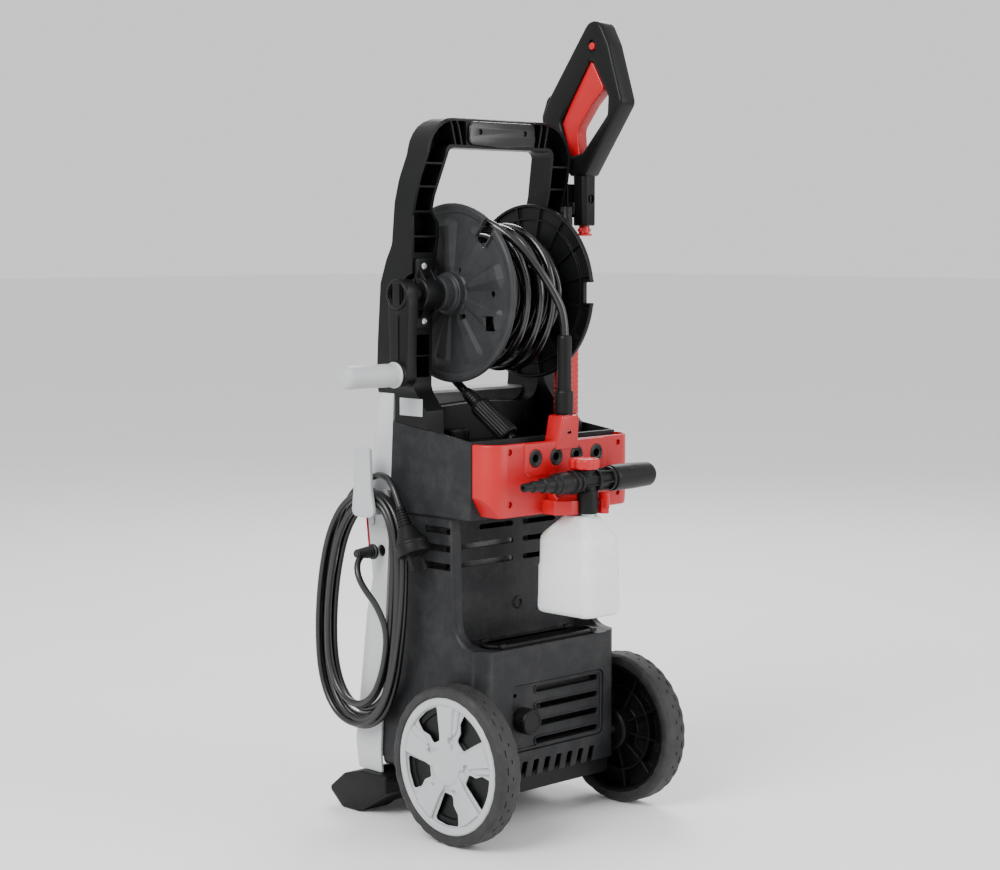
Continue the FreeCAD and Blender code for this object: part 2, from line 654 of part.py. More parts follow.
# ---- reel --------------------------------------------------------------------------------
def flange_near():
    """Crank-side flange with its rim bead, hub, hose notch, holes and hand window."""
    axis = (REEL_Y, REEL_Z)
    disc = rod("X", FLANGE_R, axis, FLANGE_IN, FLANGE_IN + 3.0)
    bead = tube("X", FLANGE_R, FLANGE_R - 11.0, axis, FLANGE_IN, FLANGE_IN + FLANGE_T)
    hub = rod("X", REEL_HUB_R + 2.0, axis, FLANGE_IN, HUB_OUT - 16.0)
    nose = rod("X", REEL_HUB_R, axis, FLANGE_IN, HUB_OUT)
    flange = fused([disc, bead, hub, nose])
    cuts = [rod("X", SHAFT_R, axis, 0.0, 200.0)]
    notch = box((FLANGE_IN - 1.0, FLANGE_IN + 9.0), (72.0, 110.0), (-9.0, 9.0))
    notch.rotate(V(0, 0, 0), V(1, 0, 0), 51.0)
    notch.translate(V(0, REEL_Y, REEL_Z))
    cuts.append(notch)
    cuts.append(box((FLANGE_IN - 1.0, FLANGE_IN + 9.0), (REEL_Y + 52.0, REEL_Y + 72.0),
                    (REEL_Z - 42.0, REEL_Z - 24.0)))
    for dy, dz in ((14.3, 26.5), (66.0, 0.0), (18.0, -27.0), (-32.0, 8.0)):
        cuts.append(rod("X", 3.6, (REEL_Y + dy, REEL_Z + dz), FLANGE_IN - 1.0, FLANGE_IN + 9.0))
    return flange.cut(cuts)


def flange_far():
    """Far flange moulded with the drum, with radial ribs on its inner rim and a cut-out."""
    axis = (REEL_Y, REEL_Z)
    disc = rod("X", FLANGE_R, axis, -FLANGE_IN - FLANGE_T, -FLANGE_IN - FLANGE_T + 3.0)
    bead = tube("X", FLANGE_R, FLANGE_R - 4.0, axis, -FLANGE_IN - FLANGE_T, -FLANGE_IN)
    hub = rod("X", REEL_HUB_R, axis, -HUB_OUT, -FLANGE_IN)
    drum = tube("X", DRUM_R, DRUM_R - 4.0, axis, -FLANGE_IN - FLANGE_T + 1.0, FLANGE_IN)
    ribs = []
    for index in range(FLANGE_RIBS):
        rib = box((-FLANGE_IN - FLANGE_T, -FLANGE_IN), (COIL_R + 2.0, FLANGE_R - 2.0), (-1.2, 1.2))
        rib.rotate(V(0, 0, 0), V(1, 0, 0), index * 360.0 / FLANGE_RIBS)
        rib.translate(V(0, REEL_Y, REEL_Z))
        ribs.append(rib)
    flange = fused([disc, bead, hub, drum] + ribs)
    cuts = [rod("X", SHAFT_R, axis, -200.0, 0.0)]
    cuts.append(box((-FLANGE_IN - 9.0, -FLANGE_IN + 1.0), (REEL_Y + 90.0, REEL_Y + 110.0),
                    (REEL_Z - 12.0, REEL_Z + 12.0)))
    return flange.cut(cuts)


def reel_shaft():
    """Shaft through both bearings, with a shoulder under the crank."""
    axis = (REEL_Y, REEL_Z)
    shaft = rod("X", SHAFT_R, axis, -BEARING_OUT, ARM_X[0] + 14.0)
    return shaft.fuse(rod("X", 10.5, axis, BEARING_OUT + GAP, ARM_X[0]))


def crank_arm():
    """Crank arm with the pin that the knob turns on."""
    low = REEL_Z - CRANK_R
    profile = [(REEL_Y - ARM_R, REEL_Z + ARM_R, 14.0), (REEL_Y + ARM_R, REEL_Z + ARM_R, 14.0),
               (REEL_Y + ARM_R, REEL_Z - 10.0, 12.0), (REEL_Y + 14.0, low - 15.0, 12.0),
               (REEL_Y - 14.0, low - 15.0, 12.0), (REEL_Y - ARM_R, REEL_Z - 10.0, 12.0)]
    arm = prism("X", profile, ARM_X[0], ARM_X[1])
    arm = arm.fuse(rod("X", KNOB_PIN_R, (REEL_Y, low), ARM_X[0] + 6.0, KNOB_X[1] - 8.0))
    return arm.cut(rod("X", SHAFT_R, (REEL_Y, REEL_Z), 100.0, ARM_X[0] + 14.0))


def crank_knob():
    centre = (REEL_Y, REEL_Z - CRANK_R)
    knob = rod("X", KNOB_R, centre, KNOB_X[0] + 6.0, KNOB_X[1] - 5.0)
    end = cone("X", (KNOB_R, KNOB_R - 3.0), centre, KNOB_X[1] - 5.0, KNOB_X[1])
    collar = rod("X", KNOB_R + 1.5, centre, KNOB_X[0], KNOB_X[0] + 6.0)
    bore = rod("X", KNOB_PIN_R + RUN, centre, KNOB_X[0] - 1.0, KNOB_X[1] - 7.0)
    return fused([knob, end, collar]).cut(bore)


def hose_coil():
    return tube("X", COIL_R, COIL_IN_R, (REEL_Y, REEL_Z), -COIL_HALF, COIL_HALF)


# ---- hose ends ---------------------------------------------------------------------------
HOSE_FEED = [(54.0, -70.0, 700.6), (51.0, -47.0, 696.5), (44.0, -25.0, 685.5), (33.0, -4.0, 667.0),
             (20.0, 13.0, 641.0), (8.0, 26.5, 613.0), (0.0, OUTLET_Y, 588.0), (0.0, OUTLET_Y, SLEEVE_Z + 0.1)]
HOSE_TAIL = [(38.0, -140.0, 539.0), (43.0, -124.0, 529.0), (48.0, -107.0, 519.0),
             (50.2, -89.3, 508.8), (48.0, -76.2, 498.5)]
TAIL_AIM = V(*HOSE_TAIL[-1]) - V(*HOSE_TAIL[-2])


def along_tail(distance):
    return V(*HOSE_TAIL[-1]) + V(TAIL_AIM).normalize() * distance


def hose_nut():
    """Strain relief, ribbed coupling and metal tip moulded on the hose end."""
    relief_end = along_tail(RELIEF_LEN)
    relief = solid_between(along_tail(0.2), relief_end, (6.4, 8.4))
    nut_end = along_tail(RELIEF_LEN + NUT_LEN)
    nut = solid_between(relief_end, nut_end, (NUT_R, NUT_R))
    tip = solid_between(nut_end, along_tail(RELIEF_LEN + NUT_LEN + TIP_LEN), (TIP_R, TIP_R))
    return fused([relief, nut, tip])


def hose_connector():
    """Sleeve and coupling that join the hose to the pump outlet."""
    centre = (0.0, OUTLET_Y)
    coupling = rod("Z", CONNECTOR_R, centre, CONNECTOR_Z[0], CONNECTOR_Z[1])
    return coupling.fuse(rod("Z", SLEEVE_R, centre, CONNECTOR_Z[1], SLEEVE_Z))


# ---- nozzle holder and foam sprayer ------------------------------------------------------
def holder_block(inset, low, high):
    half = HOLDER_HALF - inset
    plan = rounded((-half, half), (-80.0, HOLDER_REAR - inset), HOLDER_CORNER - inset)
    return prism("Z", plan, low, high).common(box((-200, 200), (HOLDER_FRONT + GAP, 100), (0, 900)))


def bottle_clip():
    """Bracket and jaws that hold the sprayer at its neck."""
    block = box((-36.0, 36.0), (HOLDER_REAR - 1.0, 64.0), CLIP_Z)
    jaws = box((-NECK_R - 7.0, NECK_R + 7.0), (60.0, FOAM_Y + 5.0), CLIP_Z)
    return [block, jaws]


def nozzle_holder():
    """Red holder round the rear of the upper block, with the outlet boss and the clip."""
    room = holder_block(WALL, HOLDER_Z[0] + WALL, HOLDER_Z[1] + 50.0)
    shell = holder_block(0.0, HOLDER_Z[0], HOLDER_Z[1]).cut(room)
    pad_face = rounded((-66.0, 66.0), (411.0, HOLDER_Z[1]), 6.0)
    pad = prism("Y", pad_face, HOLDER_REAR - 1.0, HOLDER_REAR + PAD_T)
    base = outline(rounded((-17.0, 17.0), (20.0, 42.0), 1.0), lambda p: V(p.x, p.y, 440.0))
    peak = outline(rounded((-13.0, 13.0), (22.0, 39.0), 1.0), lambda p: V(p.x, p.y, BUMP_TOP))
    bump = Part.makeLoft([base, peak], True, True)
    holder = fused([shell, pad, bump] + bottle_clip())
    cuts = []
    for x in SOCKET_X:
        cuts.append(rod("Y", SOCKET_R, (x, SOCKET_Z), HOLDER_REAR - WALL - 1.0, HOLDER_REAR + 9.0))
    cuts.append(rod("Z", 8.0 + GAP, (0.0, OUTLET_Y), 456.0, BUMP_TOP + 5.0))
    cuts.append(solid_between(V(0, PIPE_RISE_Y - 2.0, 436.0), V(0, OUTLET_Y + 2.0, 458.0), (7.0, 7.0)))
    for x in (-88.0, 88.0):
        for z in (381.0, 439.0):
            cuts.append(rod("Y", 3.0, (x, z), HOLDER_REAR - 6.0, HOLDER_REAR + 3.0))
    cuts.append(rod("Z", NECK_R + 0.6, (0.0, FOAM_Y), 300.0, 400.0))
    cuts.append(box((-NECK_R - 0.6, NECK_R + 0.6), (FOAM_Y, 120.0), (300.0, 400.0)))
    return holder.cut(cuts)


def nozzle_sockets():
    """Four rubber sockets that grip the spare nozzles."""
    face = HOLDER_REAR + PAD_T + 1.0
    sockets = []
    for x in SOCKET_X:
        sleeve = rod("Y", SOCKET_R - GAP, (x, SOCKET_Z), HOLDER_REAR - 22.0, face)
        sockets.append(sleeve.cut(rod("Y", SOCKET_BORE, (x, SOCKET_Z), face - SOCKET_LEN + 4.0, face + 5.0)))
    return Part.makeCompound(sockets)


def foam_bottle():
    z0, z1 = BOTTLE_Z
    shoulder = z1 - 24.0
    plan = rounded((-BOTTLE_X, BOTTLE_X), BOTTLE_Y, 14.0)
    body = prism("Z", plan, z0, shoulder)
    lower = outline(plan, lambda p: V(p.x, p.y, shoulder))
    top_plan = rounded((-16.0, 16.0), (FOAM_Y - 16.0, FOAM_Y + 16.0), 12.0)
    upper = outline(top_plan, lambda p: V(p.x, p.y, z1))
    cap = Part.makeLoft([lower, upper], True, True)
    neck = rod("Z", BOTTLE_NECK_R, (0.0, FOAM_Y), z1 - 2.0, z1 + 8.0)
    outer = fused([body, cap, neck])
    room_plan = rounded((2.0 - BOTTLE_X, BOTTLE_X - 2.0), (BOTTLE_Y[0] + 2.0, BOTTLE_Y[1] - 2.0), 12.0)
    room = prism("Z", room_plan, z0 + 2.0, shoulder - 2.0)
    throat = rod("Z", 5.5, (0.0, FOAM_Y), shoulder - 4.0, z1 + 9.0)
    return outer.cut(room.fuse(throat))


def foam_body():
    """Injector along X with its neck ring, dip tube and the socket that takes the gun."""
    centre = (FOAM_Y, FOAM_Z)
    core = rod("X", 12.5, centre, -44.0, 34.0)
    tee = rod("Z", 11.0, (0.0, FOAM_Y), FOAM_Z - 13.8, FOAM_Z)
    top = rod("Z", 10.0, (DOSE_X, FOAM_Y), FOAM_Z, FOAM_Z + 13.5)
    rings = [rod("X", 13.8, centre, x, x + 3.0) for x in (-40.0, -24.0, 24.0)]
    socket = rod("X", TUBE_R, centre, -104.0, -44.0)
    neck = (0.0, FOAM_Y)
    ring = rod("Z", NECK_R, neck, CLIP_Z[0] + 1.0, CLIP_Z[1] + 1.0)
    ring = ring.cut(rod("Z", BOTTLE_NECK_R + 0.1, neck, 300.0, BOTTLE_Z[1] + 8.2))
    flange = rod("Z", COLLAR_R, neck, CLIP_Z[1] + GAP, FOAM_Z - 13.0)
    dip = rod("Z", 3.2, neck, BOTTLE_Z[0] + 6.0, CLIP_Z[1] + 1.0)
    body = fused([core, tee, top, socket, ring, flange, dip] + rings)
    stem = rod("Z", 4.0 + RUN, (DOSE_X, FOAM_Y), FOAM_Z + 4.0, FOAM_Z + 20.0)
    spigot = rod("X", 8.0 + RUN, centre, 20.0, 40.0)
    return body.cut([rod("X", FOAM_BORE, centre, -110.0, -52.0), stem, spigot])


def dosing_knob():
    low = FOAM_Z + 13.5 + GAP
    knob = rod("Z", DOSE_R, (DOSE_X, FOAM_Y), low, low + DOSE_H)
    return knob.fuse(rod("Z", 4.0, (DOSE_X, FOAM_Y), FOAM_Z + 5.0, low + 1.0))


def foam_nozzle():
    """Stepped nozzle that turns on the end of the injector body."""
    centre = (FOAM_Y, FOAM_Z)
    pieces = [rod("X", 8.0, centre, 21.0, 35.0), cone("X", (12.5, 10.5), centre, 34.0 + GAP, 58.0),
              cone("X", (9.0, 7.0), centre, 57.5, 80.0), cone("X", (6.0, 4.6), centre, 79.5, 103.0)]
    return fused(pieces).cut(rod("X", 2.0, centre, 88.0, 106.0))


# ---- gun and lance -----------------------------------------------------------------------
def gun_profile():
    return [(-41.0, 944.0, 15.0), (-18.0, 902.0, 30.0), (5.0, 833.0, 13.0), (-55.0, 749.0),
            (-77.0, 749.0), (-112.0, 790.0, 18.0), (-128.0, 818.0, 12.0), (-112.0, 846.0, 20.0)]


def gun_window():
    return [(-44.0, 889.0, 6.0), (-18.0, 846.0, 8.0), (-19.0, 822.0, 8.0), (-58.0, 778.0, 6.0),
            (-80.0, 772.0, 5.0), (-97.0, 812.0, 8.0)]


def gun_body():
    loop = prism("X", gun_profile(), GUN_X[0], GUN_X[1])
    side = BARREL[1] / 2
    barrel = box((GUN_MID - side, GUN_MID + side), (BARREL[0] - side, BARREL[0] + side), BARREL_Z)
    pocket_half = TRIGGER_W / 2 + 0.5
    pocket_view = [(-62.0, 778.0), (-66.0, 758.0, 5.0), (-84.0, 758.0, 5.0), (-112.0, 802.0, 6.0),
                   (-90.0, 856.0, 6.0), (-74.0, 892.0, 4.0), (-54.0, 895.0), (-44.0, 888.0)]
    pocket = prism("X", pocket_view, GUN_MID - pocket_half, GUN_MID + pocket_half)
    window = prism("X", gun_window(), GUN_X[0] - 1.0, GUN_X[1] + 1.0)
    cuts = [window, pocket, rod("X", LOCK_R + GAP, LOCK, -160.0, -110.0),
            rod("X", PIVOT_R + RUN, PIVOT, GUN_X[0] + 1.5, GUN_X[1] - 1.5),
            rod("Z", BAYONET_R, (GUN_MID, BARREL[0]), 600.0, BARREL_Z[0] + 10.0)]
    return loop.fuse(barrel).cut(cuts)


def gun_trigger():
    """Curved lever with the pin that it turns on."""
    profile = [(-47.0, 883.0, 3.0), (-39.0, 858.0, 5.0), (-75.0, 816.0, 14.0), (-70.0, 785.0, 8.0),
               (-69.0, 764.0, 4.0), (-82.0, 763.0, 4.0), (-96.0, 806.0, 16.0), (-76.0, 847.0, 30.0),
               (-54.0, 884.0, 2.0)]
    lever = prism("X", profile, GUN_MID - TRIGGER_W / 2, GUN_MID + TRIGGER_W / 2)
    return lever.fuse(rod("X", PIVOT_R, PIVOT, GUN_X[0] + 2.0, GUN_X[1] - 2.0))


def gun_lock():
    return rod("X", LOCK_R, LOCK, GUN_X[0] - 1.5, GUN_X[1] + 1.5)


def gun_bayonet():
    centre = (GUN_MID, BARREL[0])
    low = BARREL_Z[0] - BAYONET_LEN
    spigot = rod("Z", BAYONET_R, centre, low, BARREL_Z[0] + 10.0)
    return spigot.fuse(rod("Z", BAYONET_R + 2.8, centre, low, low + 3.0))


def gun_holder():
    """Open clip on the far post that grips the barrel block."""
    side = BARREL[1] / 2 + GAP
    rear = BARREL[0] - side
    back = box((GUN_MID - side - 4.0, -FRAME_HALF - GAP), (rear - 4.0, rear), (700.0, 740.0))
    post_plate = box((-FRAME_HALF - 3.5, -FRAME_HALF - GAP), (-108.0, rear), (700.0, 740.0))
    jaws = []
    for x in (GUN_MID - side - 4.0, GUN_MID + side):
        jaws.append(box((x, x + 4.0), (rear - 1.0, rear + 9.0), (704.0, 718.0)))
    return fused([back, post_plate] + jaws)


def lance_tube():
    flange = rod("Z", LANCE_FLANGE_R, LANCE, SOCKET_BOSS_TOP + GAP, SOCKET_BOSS_TOP + 6.0)
    tip = rod("Z", BAYONET_R, LANCE, LANCE_Z[1], LANCE_Z[1] + 12.0)
    return fused([rod("Z", LANCE_R, LANCE, LANCE_Z[0], LANCE_Z[1]), flange, tip])


def lance_sleeve():
    sleeve = rod("Z", LANCE_SLEEVE_R, LANCE, LANCE_SLEEVE_Z[0], LANCE_SLEEVE_Z[1])
    sleeve = sleeve.cut(rod("Z", LANCE_R + RUN, LANCE, 400.0, 600.0))
    grooves = []
    for index in range(12):
        angle = math.radians(index * 30.0)
        x = LANCE[0] + LANCE_SLEEVE_R * math.cos(angle)
        y = LANCE[1] + LANCE_SLEEVE_R * math.sin(angle)
        grooves.append(rod("Z", 1.6, (x, y), LANCE_SLEEVE_Z[0] + 6.0, LANCE_SLEEVE_Z[1] - 6.0))
    return sleeve.cut(grooves)


# ---- tank, motor and pump ----------------------------------------------------------------
def detergent_tank():
    low = UPPER_Z + WALL + GAP
    high = DECK_TOP - DECK_T - 4.0
    body = prism("Z", rounded((26.0, 110.0), (-112.0, -4.0), 12.0), low, high)
    room = prism("Z", rounded((28.0, 108.0), (-110.0, -6.0), 10.0), low + 2.0, high - 2.0)
    neck = rod("Z", TANK_NECK_R, TANK_CAP, high - 1.0, DECK_TOP + 3.0)
    return body.fuse(neck).cut(room.fuse(rod("Z", TANK_NECK_R - 2.0, TANK_CAP, high - 5.0, 500.0)))


def tank_cap():
    low = DECK_TOP + 3.0 + GAP
    cap = rod("Z", CAP_R, TANK_CAP, low, low + CAP_H)
    return cap.fuse(rod("Z", TANK_NECK_R - 2.0 - RUN, TANK_CAP, low - 6.0, low + 1.0))


def motor_body():
    centre = (0.0, MOTOR_Y)
    shell = rod("Z", MOTOR_R, centre, MOTOR_Z[0], MOTOR_Z[1])
    room = rod("Z", ROTOR_R + 1.0, centre, MOTOR_Z[0] + 8.0, MOTOR_Z[1] - 8.0)
    return shell.cut([room, rod("Z", MOTOR_SHAFT_R + RUN, centre, 100.0, 400.0)])


def motor_rotor():
    """Rotor on the shaft that also carries the tilted wobble plate of the pump."""
    centre = (0.0, MOTOR_Y)
    rotor = rod("Z", ROTOR_R, centre, MOTOR_Z[0] + 12.0, MOTOR_Z[1] - 12.0)
    shaft = rod("Z", MOTOR_SHAFT_R, centre, PUMP_Z[0] + 22.0, MOTOR_Z[1] + 18.0)
    plate = rod("Z", PUMP_R - 9.0, centre, PUMP_Z[0] + 18.0, PUMP_Z[0] + 34.0)
    below = box((-60.0, 60.0), (-60.0, 60.0), (-40.0, 0.0))
    below.rotate(V(0, 0, 0), V(1, 0, 0), WOBBLE_DEG)
    below.translate(V(0, MOTOR_Y, PUMP_Z[0] + 24.0))
    return fused([rotor, shaft, plate.cut(below)])


def motor_fan():
    centre = (0.0, MOTOR_Y)
    low = MOTOR_Z[1] + 3.0
    fan = tube("Z", 38.0, MOTOR_SHAFT_R, centre, low, low + 2.5)
    hub = tube("Z", 12.0, MOTOR_SHAFT_R, centre, low, low + 12.0)
    blades = []
    for index in range(8):
        blade = box((9.0, 37.0), (-1.0, 1.0), (low + 1.0, low + 11.0))
        blade.rotate(V(0, 0, 0), V(0, 0, 1), index * 45.0)
        blade.translate(V(0, MOTOR_Y, 0))
        blades.append(blade)
    return fused([fan, hub] + blades)


def pump_body():
    centre = (0.0, MOTOR_Y)
    shell = rod("Z", PUMP_R, centre, PUMP_Z[0], PUMP_Z[1])
    room = rod("Z", PUMP_R - 7.0, centre, PUMP_Z[0] + 13.0, PUMP_Z[1] - 6.0)
    cuts = [room, rod("Z", MOTOR_SHAFT_R + RUN, centre, PUMP_Z[1] - 7.0, 300.0)]
    for angle in (90.0, 210.0, 330.0):
        cuts.append(rod("Z", 6.0, piston_centre(angle), 100.0, PUMP_Z[0] + 14.0))
    return shell.cut(cuts)


def piston_centre(angle):
    turn = math.radians(angle)
    return (PISTON_PCD_R * math.cos(turn), MOTOR_Y + PISTON_PCD_R * math.sin(turn))


def pump_pistons():
    pistons = []
    for angle in (90.0, 210.0, 330.0):
        pistons.append(rod("Z", 6.0 - RUN, piston_centre(angle), HEAD_Z[1] - 16.0, PUMP_Z[0] + 15.0))
    return Part.makeCompound(pistons)


def pump_head():
    block = box((-64.0, 64.0), (MOTOR_Y - 32.0, MOTOR_Y + 32.0), (HEAD_Z[0], HEAD_Z[1]))
    cuts = [rod("Z", 6.0, piston_centre(angle), HEAD_Z[1] - 18.0, 200.0) for angle in (90.0, 210.0, 330.0)]
    return block.cut(cuts)


def water_inlet():
    """Threaded inlet through the rear grille, with its pipe to the pump head."""
    face = REAR_Y - WALL + 1.0
    ring = rod("Y", INLET_R, INLET, -8.0, face)
    pipe = rod("Y", INLET_BORE + 1.5, INLET, MOTOR_Y + 32.0 + 0.2, -7.0)
    return ring.fuse(pipe).cut(rod("Y", INLET_BORE, INLET, MOTOR_Y + 30.0, 40.0))


def inlet_plug():
    face = REAR_Y - WALL + 1.0 + GAP
    knob = rod("Y", PLUG_KNOB_R, INLET, face, face + 14.0)
    return knob.fuse(rod("Y", INLET_BORE - RUN, INLET, face - 14.0, face + 1.0))


def outlet_pipe():
    """Steel pipe from the pump head to the outlet coupling."""
    route = [V(PIPE_X, MOTOR_Y, HEAD_Z[1] + 0.2), V(PIPE_X, MOTOR_Y, PIPE_Z), V(0.0, -60.0, PIPE_Z),
             V(0.0, PIPE_RISE_Y, PIPE_Z), V(0.0, PIPE_RISE_Y, 438.0), V(0.0, OUTLET_Y, 455.0),
             V(0.0, OUTLET_Y, 470.0)]
    pieces = []
    for start, end in zip(route, route[1:]):
        pieces.append(solid_between(start, end, (PIPE_R, PIPE_R)))
    for corner in route[1:-1]:
        pieces.append(Part.makeSphere(PIPE_R, corner))
    pieces.append(rod("Z", 8.0, (0.0, OUTLET_Y), 458.0, CONNECTOR_Z[0] - 0.2))
    return fused(pieces)


# ---- wheels ------------------------------------------------------------------------------
def wheel_axle():
    """Axle rod with a retaining ring near each end."""
    low = WHEEL_OUT - TYRE_W - HUB_REACH + HUB_LEN + GAP
    ring = rod("X", CLIP_R, (0.0, WHEEL_R), low, low + CLIP_T)
    axle = rod("X", AXLE_R, (0.0, WHEEL_R), -WHEEL_OUT + 7.0, WHEEL_OUT - 7.0)
    return fused([axle, ring, mirrored(ring)])


def wheel_tyre():
    axis = (0.0, WHEEL_R)
    inner = WHEEL_OUT - TYRE_W
    middle = tube("X", WHEEL_R, WHEEL_R - TYRE_T, axis, inner + 4.0, WHEEL_OUT - 4.0)
    left = cone("X", (WHEEL_R - 3.0, WHEEL_R), axis, inner, inner + 4.0)
    right = cone("X", (WHEEL_R, WHEEL_R - 3.0), axis, WHEEL_OUT - 4.0, WHEEL_OUT)
    bore = rod("X", WHEEL_R - TYRE_T, axis, inner - 1.0, WHEEL_OUT + 1.0)
    return fused([middle, left.cut(bore), right.cut(bore)])


def wheel_rim():
    """Rim barrel, web, ribs and hub of one wheel."""
    axis = (0.0, WHEEL_R)
    inner = WHEEL_OUT - TYRE_W
    outer_r = WHEEL_R - TYRE_T - 0.1
    barrel = tube("X", outer_r, outer_r - 4.0, axis, inner + 1.0, WHEEL_OUT - COVER_T - 1.0)
    web_x = WHEEL_OUT - COVER_T - 6.0
    web = rod("X", outer_r - 1.0, axis, web_x, web_x + 3.0)
    hub_low = inner - HUB_REACH
    hub = rod("X", HUB_R, axis, hub_low, hub_low + HUB_LEN)
    ribs = []
    for index in range(WHEEL_RIBS):
        rib = box((inner + 6.0, web_x + 1.0), (HUB_R - 2.0, outer_r - 2.0), (-1.5, 1.5))
        rib.rotate(V(0, 0, 0), V(1, 0, 0), index * 360.0 / WHEEL_RIBS)
        rib.translate(V(0, 0, WHEEL_R))
        ribs.append(rib)
    ring = tube("X", 52.0, 49.5, axis, inner + 6.0, web_x + 1.0)
    rim = fused([barrel, web, hub, ring] + ribs)
    rim = rim.cut(rod("X", CLIP_R + 1.0, axis, hub_low + HUB_LEN, 200.0))
    return rim.cut(rod("X", AXLE_R + RUN, axis, 0.0, 200.0))


def wheel_cover():
    """Five-spoke cover snapped over the outside of a wheel."""
    axis = (0.0, WHEEL_R)
    outer_r = WHEEL_R - TYRE_T - 0.3
    disc = rod("X", outer_r, axis, WHEEL_OUT - COVER_T, WHEEL_OUT)
    cuts = []
    for index in range(SPOKES):
        view = [(24.0, -12.0, 4.0), (64.0, -26.0, 8.0), (69.0, 0.0), (64.0, 26.0, 8.0), (24.0, 12.0, 4.0)]
        window = prism("X", view, 100.0, 200.0)
        window.rotate(V(0, 0, 0), V(1, 0, 0), 54.0 + index * 360.0 / SPOKES)
        window.translate(V(0, 0, WHEEL_R))
        cuts.append(window)
    return disc.cut(cuts)


# ---- power cord --------------------------------------------------------------------------
def cable_hook():
    arm = box((UPPER_HALF + GAP, HOOK_BLADE_X[1]), HOOK_ARM_Y, HOOK_ARM_Z)
    foot = box((UPPER_HALF + GAP, UPPER_HALF + 3.0), HOOK_ARM_Y, (346.0, 384.0))
    view = [(-161.0, 358.0, 6.0), (-120.0, 358.0, 6.0), (-127.0, 388.0, 10.0), (-129.0, 436.0, 4.0),
            (-157.0, 436.0, 4.0)]
    blade = prism("X", view, HOOK_BLADE_X[0], HOOK_BLADE_X[1])
    return fused([arm, foot, blade])


def cord_gland():
    flange = rod("X", 9.0, GLAND, UPPER_HALF + GAP, UPPER_HALF + 3.0)
    body = rod("X", 6.8, GLAND, UPPER_HALF - 8.0, UPPER_HALF + 4.0)
    relief = cone("X", (6.8, 4.8), GLAND, UPPER_HALF + 3.0, GLAND_OUT)
    return fused([flange, body, relief])


CORD_LEAD = [(GLAND_OUT + 0.2, -146.0, 314.0), (143.2, -146.0, 314.0), (154.8, -143.3, 308.8),
             (162.4, -138.4, 299.5), (164.6, -131.9, 287.3), (160.5, -124.7, 273.5),
             (149.6, -115.0, 255.0)]
CORD_END = [(131.0, -139.0, 404.2), (133.5, -127.0, 404.6), (136.0, -114.6, 402.9),
            (138.5, -103.3, 395.3), (140.0, -95.0, 384.7), (140.0, -88.5, 371.2)]
PLUG_TOP = V(140.0, -88.4, 371.0)
PLUG_AIM = V(0.0, 33.3, -69.6)


def cord_bundle():
    """Outer shape of the hanging turns of the cord."""
    outer = [(-122.0, 400.0, 14.0), (-100.0, 376.0, 20.0), (-98.0, 250.0, 60.0), (-112.0, 150.0, 50.0),
             (-150.0, 94.0, 30.0), (-190.0, 94.0, 30.0), (-232.0, 150.0, 50.0), (-251.0, 226.0, 50.0),
             (-236.0, 300.0, 50.0), (-196.0, 368.0, 40.0), (-160.0, 400.0, 14.0)]
    inner = [(-126.0, 372.3, 4.0), (-121.0, 250.0, 40.0), (-132.0, 165.0, 30.0), (-155.0, 120.0, 14.0),
             (-186.0, 120.0, 14.0), (-212.0, 160.0, 30.0), (-226.0, 226.0, 40.0), (-210.0, 290.0, 40.0),
             (-162.0, 372.3, 4.0)]
    solid = prism("X", outer, BUNDLE_X[0], BUNDLE_X[1])
    return solid.cut(prism("X", inner, BUNDLE_X[0] - 1.0, BUNDLE_X[1] + 1.0))


def along_plug(distance):
    return PLUG_TOP + V(PLUG_AIM).normalize() * distance


def mains_plug():
    """Moulded plug with its strain relief and two pins."""
    relief = solid_between(along_plug(0.0), along_plug(22.0), (5.5, 9.0))
    neck = solid_between(along_plug(22.0), along_plug(38.0), (9.0, 16.0))
    face = solid_between(along_plug(38.0), along_plug(57.0), (PLUG_R, PLUG_R))
    sideways = V(0.0, -PLUG_AIM.z, PLUG_AIM.y).normalize()
    pins = []
    for side in (-0.5, 0.5):
        shift = sideways * (side * PIN_SPACING)
        pins.append(solid_between(along_plug(56.0) + shift, along_plug(76.0) + shift, (PIN_R, PIN_R)))
    return fused([relief, neck, face] + pins)


# ---- the whole machine -------------------------------------------------------------------
def build_parts():
    makers = [rear_housing, front_cover, front_trim, power_switch, switch_knob, base_chassis, foot_bar,
              rear_grille, bottle_basket, top_deck, handle_frame, grip_insert, bearing_brackets,
              bracket_screws, flange_near, flange_far, reel_shaft, crank_arm, crank_knob, hose_coil,
              hose_connector, hose_nut, nozzle_holder, nozzle_sockets, foam_bottle, foam_body,
              dosing_knob, foam_nozzle, gun_body, gun_trigger, gun_lock, gun_bayonet, gun_holder,
              lance_tube, lance_sleeve, detergent_tank, tank_cap, motor_body, motor_rotor, motor_fan,
              pump_body, pump_pistons, pump_head, water_inlet, inlet_plug, outlet_pipe, wheel_axle,
              cable_hook, cord_gland, cord_bundle, mains_plug]
    parts = {maker.__name__: maker() for maker in makers}
    parts["hose_feed"] = cord_tube("hose_feed", HOSE_FEED, HOSE_R)
    parts["hose_tail"] = cord_tube("hose_tail", HOSE_TAIL, HOSE_R)
    leads = [cord_tube("cord_lead", CORD_LEAD, CORD_R), cord_tube("cord_end", CORD_END, CORD_R)]
    parts["cord_ends"] = Part.makeCompound(leads)
    for maker in (wheel_tyre, wheel_rim, wheel_cover):
        parts[maker.__name__ + "_near"] = maker()
        parts[maker.__name__ + "_far"] = mirrored(maker())
    return parts


def main():
    os.makedirs("parts", exist_ok=True)
    for name, shape in build_parts().items():
        shape.translate(V(-BASE_X, -BASE_Y, 0.0))
        shape.exportStep(os.path.join("parts", name + ".step"))


main()
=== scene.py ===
import sys

import json
import math
import random

